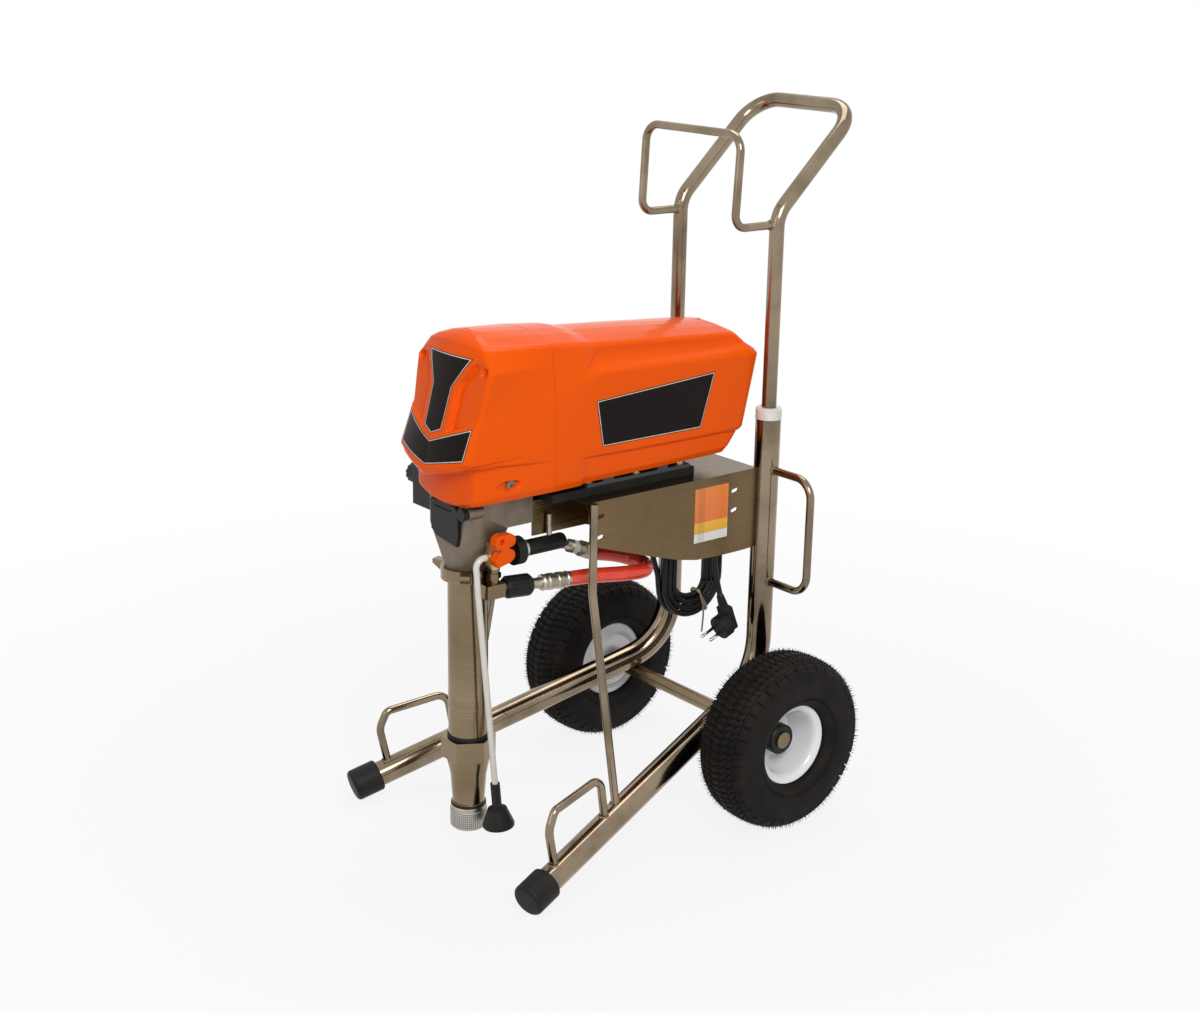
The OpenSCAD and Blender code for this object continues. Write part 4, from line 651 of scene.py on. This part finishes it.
# ---------------- tyres
TYRE_R, TYRE_HALF, TYRE_WAIST, BEAD_R = 132.5, 45.0, 92, 62.5
AXLE = part([0, -54.5, TYRE_R])
WHEEL_X = 214.0
LUGS, LUG_HIGH, TREAD_DEEP = 38, 3.9, 4.2
HAIR_LOW, HAIR_ROOT = 0.0003, 2.6
HAND = ((1, "right"), (-1, "left"))


def tyre_profile(count):
    """Distance across and radius of the tyre's outside from inner to outer bead: a flat
    crown that rolls over round shoulders into bulging side walls, each the sine and cosine
    of one angle raised to a power."""
    a = np.linspace(-math.pi * 0.8, math.pi * 0.8, count)
    across = TYRE_HALF * np.sign(np.sin(a)) * np.abs(np.sin(a)) ** 0.72
    radius = (TYRE_WAIST + (TYRE_R - TREAD_DEEP - TYRE_WAIST) * np.sign(np.cos(a))
              * np.abs(np.cos(a)) ** 0.62)
    return a, across, np.maximum(radius, BEAD_R)


def tread(angle, across):
    """Height of the turf tread. Zigzag grooves run round at three distances from the middle.
    Slanting cuts cross the inner lanes as chevrons, twice for each lug of the shoulder."""
    away = np.abs(across)
    phase = angle * LUGS / (2 * math.pi)
    zig = 2.2 * np.abs(((phase * 2) % 1.0) * 2 - 1) - 1.1
    lanes = np.array([0.0, 10.5, 21.0, 32.0])
    groove = np.min(np.abs(away[..., None] + zig[..., None] - lanes), axis=-1)
    lane = np.searchsorted(lanes, away + zig) - 1
    slant = (phase * 2 + away * 0.06 + 0.5 * (lane % 2)) % 1.0
    slant = np.where(lane >= 3, phase % 1.0, slant)
    pitch = 2 * math.pi * TYRE_R / LUGS / np.where(lane >= 3, 1, 2)
    cut = np.minimum(slant, 1 - slant) * pitch
    block = ease((groove - 0.8) / 0.9) * ease((cut - 0.9) / 0.9)
    return LUG_HIGH * block * ease((43.6 - away) / 1.5)


def wheel_surface(x, radius, angle, side):
    """Turns a profile about the axle: side is +1 for the right wheel, -1 for the left."""
    return AXLE + MM * np.stack([side * (WHEEL_X + x), radius * np.cos(angle),
                                 radius * np.sin(angle)], -1)


def wheel_faces(rows, cols, side):
    """Faces of a profile closed both ways, outwards on either wheel."""
    faces = grid_faces(rows, cols, close_rows=True, close_cols=True)
    return faces if side < 0 else faces[:, ::-1]


def make_tyre(side, body, node_name, name):
    """Tyre with its tread raised along the outward direction, closed by a hidden inside."""
    rings, around = 78, 952
    a, across, radius = tyre_profile(rings)
    turn = full_turn(around)
    A, T = np.meshgrid(a, turn, indexing="ij")
    X, R = np.broadcast_to(across[:, None], A.shape), np.broadcast_to(radius[:, None], A.shape)
    lift = tread(T, X) * (np.cos(A) > -0.25)
    out_x = np.sign(X) * np.clip((np.abs(X) - 34) / 11, 0, 1) * 0.55
    R = R + lift * np.sqrt(1 - out_x ** 2)
    X = X + lift * out_x * (np.abs(X) > 30)
    X = np.clip(X, -TYRE_HALF, TYRE_HALF)
    R = np.minimum(R, TYRE_R)
    inside = [(26.2, 62.6), (23.4, 52.2), (14, 56), (-14, 56), (-23.4, 52.2), (-26.2, 62.6)]
    ends = np.array([[[x, r]] * around for x, r in inside])
    X = np.concatenate([X, ends[..., 0]])
    R = np.concatenate([R, ends[..., 1]])
    tyre = add_piece(name, wheel_surface(X, R, turn, side), wheel_faces(len(X), around, side),
                     tyre_rubber, body)
    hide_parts(node_name)


def make_tyre_rubber():
    """Dusty black: two tones that drift into each other under a fine grain."""
    material, tree, principled = paint("tyre_rubber", Roughness=0.62, Specular_IOR_Level=0.12)
    where = place(tree)
    feed(tree, principled, Base_Color=ramp(tree, noise(tree, where, 30.0, 4.0), [
        (0.3, (0.006, 0.005, 0.0045)), (0.68, (0.016, 0.013, 0.011))]))
    bump(tree, principled, noise(tree, where, 900.0, 2.0), 0.4, 0.0003)
    return material


def make_hairs(side, body, name):
    """Thin rubber spikes left by the mould: for each one a three-sided point stands off the
    tread along the outward direction there, leaning a little, by its own length. Each row
    has its distance from the middle, its direction's share across, and its length."""
    rng = np.random.default_rng(7 if side > 0 else 11)
    _, across, radius = tyre_profile(400)
    half = np.array([[42.5, 0.75, 8], [38, 0.5, 8], [26, 0.2, 6], [9, 0, 5]])
    rows = np.vstack([half * [-1, 1, 1], half[::-1]])
    count = LUGS * 5
    turn = (np.arange(count) + rng.uniform(-0.35, 0.35, (len(rows), count))) * 2 * math.pi / count
    sideways = (rows[:, 1] * np.sign(rows[:, 0]))[:, None]
    upward = np.sqrt(1 - rows[:, 1] ** 2)[:, None]
    top = len(across) // 2
    outer = np.interp(np.abs(rows[:, 0]), across[top:top + 160], radius[top:top + 160])[:, None]
    start = outer + HAIR_ROOT + 0 * turn
    x = rows[:, :1] + 0 * turn
    long = rows[:, 2:] * rng.uniform(0.7, 1.1, turn.shape)
    lean = rng.uniform(-0.012, 0.012, turn.shape)
    corners = [wheel_surface(x + math.cos(k), start, turn + math.sin(k) / TYRE_R, side)
               for k in full_turn(3)]
    tip = wheel_surface(x + sideways * long, start + upward * long, turn + lean, side)
    points = np.stack(corners + [tip], 2)
    points[..., 2] = np.maximum(points[..., 2], HAIR_LOW)
    one = np.array([[0, 1, 3], [1, 2, 3], [2, 0, 3], [2, 1, 0]])
    faces = (np.arange(turn.size)[:, None, None] * 4 + one).reshape(-1, 3)
    add_piece(name, points, faces if side > 0 else faces[:, ::-1], tyre_rubber, body, smooth=False)


def make_rim(side, body, node_name, name):
    """Pressed wheel: a closed profile turned about the axle, its deep bowl one smooth curve
    from the rolled lip down to a ridge round the flat disc, with one dimple of weld."""
    back = [(-36.5, 15.1), (-36.5, 40), (-34.5, 44), (-28.5, 46.5), (-29, 58), (-29, 60.5),
            (-28, 61.4), (-26.5, 60.5), (-24, 51.3), (-22, 51), (22, 51), (24, 51.3),
            (26.5, 60.5), (28, 61.4)]
    bowl = catmull([(29, 60.6), (28.6, 59), (27.2, 56.4), (24.5, 52.6), (19, 49.6), (8, 48.2),
                    (-8, 47.4), (-22, 46.6), (-27.5, 44.6), (-30, 41), (-30.6, 37.5),
                    (-33, 35.2), (-33.6, 30), (-33.8, 22), (-34, 15.1)], 4)
    x, radius = np.vstack([back, bowl]).T[..., None]
    turn = full_turn(120)
    near = np.exp(-(((x - 6) / 3) ** 2 + ((turn - 3.9) * 48 / 3) ** 2))
    dented = radius - 1.3 * near * (radius < 50)
    rim = add_piece(name, wheel_surface(x + 0 * turn, dented, turn, side),
                    wheel_faces(len(x), len(turn), side), white_paint, body)
    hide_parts(node_name)


tyre_rubber = make_tyre_rubber()
for side, hand in HAND:
    make_tyre(side, f"wheel_{hand}", f"tyre_{hand}", f"tyre_{hand}_tread")
    make_hairs(side, f"wheel_{hand}", f"tyre_{hand}_hairs")
    make_rim(side, f"wheel_{hand}", f"rim_{hand}", f"rim_{hand}_bowl")

# ---------------- whip hose
HOSE = [[62, -298, 395.5], [69, -266, 393], [75.5, -235, 391], [75, -209, 390], [57, -192, 390.5],
        [31, -195, 393], [11, -211, 397]]
HOSE_R = 11
OUTLET, LINE_LONG, FILTER = np.array([49, -446, 404]), 112.3, np.array([49, -352, 454])
line_dir = np.array([11, 146, -9]) / np.linalg.norm([11, 146, -9])
hose_start = OUTLET + LINE_LONG * line_dir
hose_end = np.array([1, -248, 406.0])
end_dir = (FILTER - hose_end) / np.linalg.norm(FILTER - hose_end)
hose_points = np.vstack([hose_start, hose_start + 12 * line_dir, HOSE, hose_end - 14 * end_dir,
                         hose_end])
hose = capped_tube("whip_hose_skin", part(catmull(hose_points, 10)), HOSE_R * MM, 32, red_hose,
                   start=line_dir, end=end_dir)
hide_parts("whip_hose")


# ---------------- plates and label
def plate_material(name, size, line=(1.0, 2.1)):
    """Dark plate read by its own UV map: a pale line runs round it between two distances
    from the edge, in millimetres of a plate of this size, on a ground with a faint weave."""
    material, tree, principled = paint(name, Roughness=0.28, Specular_IOR_Level=0.08)
    split = split_uv(tree)

    def from_edge(axis):
        away = maths(tree, "ABSOLUTE", (maths(tree, "SUBTRACT", (split, axis), 0.5), 0))
        left = maths(tree, "SUBTRACT", 0.5, (away, 0))
        return maths(tree, "MULTIPLY", (left, 0), size[axis] / 10)

    near = maths(tree, "MINIMUM", (from_edge(0), 0), (from_edge(1), 0))
    ground, border = (0.012, 0.0075, 0.0065), (0.80, 0.72, 0.64)
    low, high = (edge / 10 for edge in line)
    lines = ramp(tree, near, [(0.0, ground), (low - 0.01, ground), (low + 0.01, border),
                              (high - 0.01, border), (high + 0.01, ground)])
    weave = ramp(tree, noise(tree, place(tree), 240.0, 3.0), [(0.35, 0.75), (0.7, 1.0)])
    feed(tree, principled, Base_Color=multiply(tree, lines, weave))
    return material


def tree_of(grid):
    """Search tree of a cover's surface, to lay plates on it."""
    return BVHTree.FromPolygons([Vector(p) for p in part(grid.reshape(-1, 3))],
                                grid_faces(*grid.shape[:2]).tolist())


front_tree, shroud_tree = tree_of(front_grid), tree_of(shroud_grid)
PLATE_THICK, PLATE_SUNK = 0.35, 0.3


def laid_plate(name, points, direction, tree, material):
    """A thin plate pressed onto a cover: every point of its grid slides along the
    direction to the cover and stands proud by the thickness."""
    rows, cols = points.shape[:2]
    way = Vector(direction)
    top = np.array([tree.ray_cast(Vector(p) - way * 0.05, way)[0] or Vector(p)
                    for p in part(points.reshape(-1, 3))])
    top -= np.array(direction) * PLATE_THICK * MM
    under = top + np.array(direction) * (PLATE_THICK + PLATE_SUNK) * MM
    # The rim runs once round the grid's border, from the top down to the underside
    index = np.arange(rows * cols).reshape(rows, cols)
    ring = np.concatenate([index[0], index[1:, -1], index[-1, -2::-1], index[-2:0:-1, 0]])
    back = np.roll(ring, 1)
    rim = np.stack([ring, back, back + rows * cols, ring + rows * cols], 1)
    faces = grid_faces(rows, cols)
    uv = np.stack(np.meshgrid(np.linspace(0, 1, cols), np.linspace(0, 1, rows)), -1)
    add_piece(name, [top, under], np.vstack([faces, faces[:, ::-1] + rows * cols, rim]), material,
              uv=[uv, uv], smooth=False)


def lerp_grid(corners, rows, cols):
    """Bilinear patch between four corners: low left, low right, high right, high left."""
    a, b, c, d = (np.array(p, float) for p in corners)
    u = np.linspace(0, 1, cols)[None, :, None]
    v = np.linspace(0, 1, rows)[:, None, None]
    return (1 - v) * ((1 - u) * a + u * b) + v * ((1 - u) * d + u * c)


# Plates start out flat, on a plane outside the covers
OUT_X, OUT_Y = 100, -560.0
side_plate = lerp_grid([(0, -304, 594), (0, -122, 594), (0, -96, 674), (0, -315, 660)], 24, 48)
for side, hand in HAND:
    grid = (side_plate + [side * OUT_X, 0, 0])[:, ::side]
    laid_plate(f"side_plate_{hand}", grid, (-side, 0, 0), shroud_tree,
               plate_material(f"side_plate_{hand}", (196, 73)))

# Height in rows from the lower edge, width in columns from -1 to 1; both lower edges are a V
t = np.linspace(0, 1, 30)[:, None]
u = np.linspace(-1, 1, 31)[None, :] + 0 * t
peak = 1 - np.abs(u)
key_z = 636 + (733 - 636) * t
key_half = np.interp(key_z, [630, 640, 693, 733], [21, 20, 22, 50])
v_low, v_high = 602 - 16 * peak, 645 - 27 * peak
for name, x, z, size in (("keystone", key_half * u, key_z - 9 * peak * (1 - t), (46, 98)),
                         ("chevron", 73 * u, v_low + (v_high - v_low) * t, (150, 36))):
    laid_plate(f"{name}_plate", np.stack([x, 0 * u + OUT_Y, z], -1), (0, 1, 0), front_tree,
               plate_material(f"{name}_dark", size, (0.8, 1.9)))


def make_label():
    """Plain sticker read by its own UV map: an orange field over a yellow band and a pale
    strip, with one darker stripe up its side."""
    material, tree, principled = paint("sticker", Roughness=0.35, Coat_Weight=0.3)
    split = split_uv(tree)
    up = ramp(tree, split, [(0.0, (0.75, 0.74, 0.70)), (0.16, (0.75, 0.74, 0.70)),
                            (0.165, (0.80, 0.40, 0.02)), (0.36, (0.83, 0.46, 0.03)),
                            (0.365, (0.80, 0.17, 0.02)), (1.0, (0.83, 0.22, 0.03))])
    tree.links.new(split.outputs[1], up.inputs["Fac"])
    bars = ramp(tree, split, [(0.0, 1.0), (0.10, 1.0), (0.105, 0.82), (0.30, 0.82), (0.305, 1.0)])
    feed(tree, principled, Base_Color=multiply(tree, up, bars))
    return material


STICKER_X, STICKER_LOW, STICKER_SIZE = 106.25, (-141, 425), (65, 82)
corners = np.array([[0, 0], [1, 0], [1, 1], [0, 1]] * 2, float)
sticker = np.column_stack([np.repeat([STICKER_X, STICKER_X - PLATE_THICK], 4),
                           STICKER_LOW + corners * STICKER_SIZE])
add_piece("sticker", part(sticker), [[0, 1, 2, 3], [7, 6, 5, 4]] + [
    [(k + 1) % 4, k, k + 4, (k + 1) % 4 + 4] for k in range(4)], make_label(), uv=corners,
          smooth=False)


# ---------------- weld beads
def weld_bead(name, middle, axis, radius, body="cart", thick=1.7):
    """A ring about an axis whose thickness ripples like run-on drops of weld."""
    axis, spin = spokes(axis, 72)
    u, v = full_turn(72)[:, None, None], full_turn(10)[None, :, None]
    r = thick * (1 + 0.16 * np.sin(15 * u))
    points = middle + (radius + r * np.cos(v)) * spin[:, None] + r * np.sin(v) * axis
    add_piece(name, part(points), grid_faces(72, 10, True, True)[:, ::-1], weld_steel, body)


for side, hand in HAND:
    for z, level in ((517, "top"), (343, "low")):
        weld_bead(f"bail_weld_{hand}_{level}", (side * 123.6, 0, z), (1, 0, 0), 6.3)
    weld_bead(f"hook_weld_{hand}", (side * 102, -10.8, 879), (0, 1, 0), 6.2, "handle")

# ---------------- welds on the legs
PITCH, SPLAY = math.radians(16.35), math.radians(12.6)
LEG_DIR = np.array([math.sin(SPLAY) * math.cos(PITCH), -math.cos(SPLAY) * math.cos(PITCH),
                    -math.sin(PITCH)])
LEG_PLAN = np.array([math.sin(SPLAY), -math.cos(SPLAY), 0.0])
LEG_FOOT = np.array([218.5, -508.0, 27.8])
LEG_R, ROD_R, ROOT_GAP = 19.0, 6.0, 0.5


def across_leg(v):
    """What is left of vectors without their share along the leg."""
    return v - (v @ LEG_DIR)[..., None] * LEG_DIR


def leg_weld(name, side, back, up, thick=1.6):
    """A bead where a rod stands on a leg: the curve on which the rod's side meets the leg's,
    found for each angle by sliding along the rod to the leg's radius, its thickness rippling."""
    foot = LEG_FOOT - back * LEG_PLAN + [0, 0, back * math.tan(PITCH)]
    rod, spin = spokes(up, 60, LEG_DIR)
    ring = foot + (ROD_R + ROOT_GAP) * spin
    w, d = across_leg(ring - LEG_FOOT), across_leg(rod)
    a, b, c = d @ d, w @ d, np.sum(w * w, axis=1) - LEG_R ** 2
    ring += ((-b + np.sqrt(b * b - a * c)) / a)[:, None] * rod
    ring = np.vstack([ring, ring[:1]])
    beads = tube_along(ring, thick * (1 + 0.18 * np.sin(np.arange(len(ring)) * 1.26)), 8)
    faces = [face[::side] for face in capped_faces(len(ring), 8)]
    add_piece(name, part(beads) * [side, 1, 1], faces, weld_steel)


for side, hand in HAND:
    for spot, back, up in (("hoop_front", 38, (3.1, -13.7, 65.1)),
                           ("hoop_back", 147, (2.8, -12.7, 73.1)),
                           ("strut", 173, (-68.6, 5.1, 308.5))):
        leg_weld(f"{spot}_weld_{hand}", side, back, up)

# ---------------- pump, screws and ties
PUMP_Y, TIE_R = -468, 1.4


def woven_wire():
    """Wire cloth by its own UV map: two crossing sets of round wires, with a painted highlight on
    their crests and painted shade in the gaps."""
    material, tree, principled = paint("woven_wire", Metallic=0.9, Roughness=0.4)
    split = split_uv(tree, (110, 18, 1))
    waves = [maths(tree, "PINGPONG", (split, k), 1.0) for k in (0, 1)]
    crest_highlight_and_gap_shade = maths(tree, "MAXIMUM", (waves[0], 0), (waves[1], 0))
    # Painted light: the base colour is a painted highlight on the wire crests and painted shade in
    # the gaps
    feed(tree, principled, Base_Color=ramp(tree, crest_highlight_and_gap_shade, [(0.35, (0.05, 0.045, 0.04)),
                                                         (0.8, (0.50, 0.48, 0.44))]))
    bump(tree, principled, crest_highlight_and_gap_shade, 0.6, 0.0006)
    return material


def strainer_cloth():
    """Sleeve of wire cloth round the strainer: a straight tube with rounded rims."""
    turn = np.linspace(0, 2 * np.pi, 97)
    z, radius = np.array([(33.2, 25.6), (33.2, 26.3), (34, 26.6), (58.5, 26.6), (59.6, 26.2),
                          (59.6, 25.6)]).T
    u, v = np.meshgrid(turn / (2 * np.pi), (z - z.min()) / np.ptp(z))
    radius = radius[:, None]
    points = np.stack([radius * np.cos(turn), PUMP_Y + radius * np.sin(turn),
                       z[:, None] + 0 * turn], -1)
    sleeve = add_piece("strainer_cloth", part(points),
                       grid_faces(len(z), len(turn), close_rows=True)[:, ::-1], woven_wire(),
                       uv=np.stack([u, v], -1))
    sleeve.modifiers.new("merge", "WELD").merge_threshold = MERGE


for side, hand in HAND:
    screw = turned_piece(f"chin_screw_{hand}", (side * 63.2, -447, 560), (side, 0, 0),
                         [(0, 0.05), (0, 4.4), (5, 4.4), (6.4, 3.8), (7.2, 2.6), (7.2, 1.6),
                          (5, 1.5), (5, 0.05)], dark_steel, 24)
    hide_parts("cover_screws")
strainer_cloth()
# Black seal in the joint between the cylinder and the intake's hexagon
turned_piece("intake_seal", (0, PUMP_Y, 172), (0, 0, 1),
             [(-1.5, 27), (-1.5, 29.6), (0, 30.2), (3.5, 30.2), (5, 29.6), (5, 27)], rubber)
turned_piece("strainer_seal", (0, PUMP_Y, 66.5), (0, 0, 1),
             [(-1.5, 23), (-1.5, 25.2), (0.5, 25.6), (3, 25.2), (3, 23)], rubber)
# Ribbed sleeve that tapers down the cord below its gland
ribs = [(0.0, 6.2)] + [(2.4 + 3.0 * k + d, 6.1 - 0.2 * k - e) for k in range(8)
                       for d, e in ((0, 0), (1.0, 0), (1.3, 0.9), (2.7, 0.9))]
turned_piece("cord_sleeve", lead[0], (0, 0, -1), [(0.0, 4.3)] + ribs + [(28.5, 4.4)], rubber, 40)


def cord_tie():
    """Tie wire: nearly two turns close round the lower bend of the hank, each a rounded
    rectangle (powers of cosine and sine) across the cords, and the wire's end hanging free."""
    turn = np.linspace(0, 3.75 * np.pi, 56)
    outward = np.array([0.0, 0.5, -0.866])
    wide = np.sign(np.cos(turn)) * np.abs(np.cos(turn)) ** 0.6
    tall = np.sign(np.sin(turn)) * np.abs(np.sin(turn)) ** 0.6
    ring = (np.array([34.6, -63.5, 302.2]) + 10.6 * wide[:, None] * [1, 0, 0]
            + 20.5 * tall[:, None] * outward + turn[:, None] * [0, 0.26, 0.15])
    end = [[46.8, -68, 306], [47.2, -64.5, 296], [47.2, -63.5, 280], [46.4, -63.8, 266],
           [46, -64.5, 253]]
    capped_tube("cord_tie", part(catmull(np.vstack([ring, end]), 4)), TIE_R * MM, 10, tie_wire)


cord_tie()
moulded("lever_body", "prime_lever", orange, 0.6, "lever")

# ---------------- studio
FLOOR_Z, FLOOR_HALF = -0.0005, 9.0
FLOOR_GREY, FLOOR_LIT = (0.66, 0.66, 0.66), 0.86
WORLD_LIGHT, WHITE = 0.38, (1, 1, 1, 1)
LAMPS = (("key", (2.7, -1.5, 2.6), (0, -0.1, 0.5), 72, 1.5),
         ("fill", (0.2, -3.2, 1.6), (0, 0, 0.5), 9, 1.6),
         ("top", (-0.6, 0.8, 3.2), (0, 0, 0.5), 34, 1.8))


def seen(tree):
    """1 for rays from the camera, from mirrors and through glass, 0 for scattered light."""
    path = node(tree, "LightPath")
    gloss = maths(tree, "MAXIMUM", (path, "Is Glossy Ray"), (path, "Is Transmission Ray"))
    return maths(tree, "MAXIMUM", (path, "Is Camera Ray"), (gloss, 0))


def floor_white():
    """Grey floor that is seen as nearly white, and as white away from the object."""
    material = bpy.data.materials.new("floor_white")
    tree, out = cleared(material, "OutputMaterial")
    diffuse = node(tree, "BsdfDiffuse", {"Color": (*FLOOR_GREY, 1.0)})
    light = node(tree, "Emission", {"Color": WHITE, "Strength": 1.0})
    length = node(tree, "VectorMath", {0: (node(tree, "TexCoord"), "Object")},
                  operation="LENGTH")
    far = node(tree, "MapRange", {"Value": (length, 1), "From Min": 0.5, "From Max": 1.7,
                                  "To Min": FLOOR_LIT, "To Max": 1.0})
    share = maths(tree, "MULTIPLY", (seen(tree), 0), (far, 0))
    mix = node(tree, "MixShader", {0: (share, 0), 1: (diffuse, 0), 2: (light, 0)})
    tree.links.new(mix.outputs[0], out.inputs[0])
    return material


def studio():
    """Pale floor, a white background, a soft key light, a fill and a top light."""
    floor = add_piece("floor", [[x * FLOOR_HALF, y * FLOOR_HALF, FLOOR_Z] for x, y in (
        (-1, -1), (1, -1), (1, 1), (-1, 1))], [[0, 1, 2, 3]], floor_white())
    world = bpy.data.worlds.new("studio")
    bpy.context.scene.world = world
    tree, out = cleared(world, "OutputWorld")
    plain = node(tree, "Background", {"Color": WHITE, "Strength": WORLD_LIGHT})
    white = node(tree, "Background", {"Color": WHITE, "Strength": 1.0})
    mix = node(tree, "MixShader", {0: (seen(tree), 0), 1: (plain, 0), 2: (white, 0)})
    tree.links.new(mix.outputs[0], out.inputs[0])
    for name, spot, aim, power, wide in LAMPS:
        lamp = bpy.data.lights.new(name, "AREA")
        lamp.energy, lamp.size = power, wide
        turn = (Vector(spot) - Vector(aim)).to_track_quat("Z", "Y").to_matrix().to_4x4()
        put(name, lamp).matrix_world = Matrix.Translation(spot) @ turn


studio()
bpy.context.scene.view_settings.view_transform = "Standard"
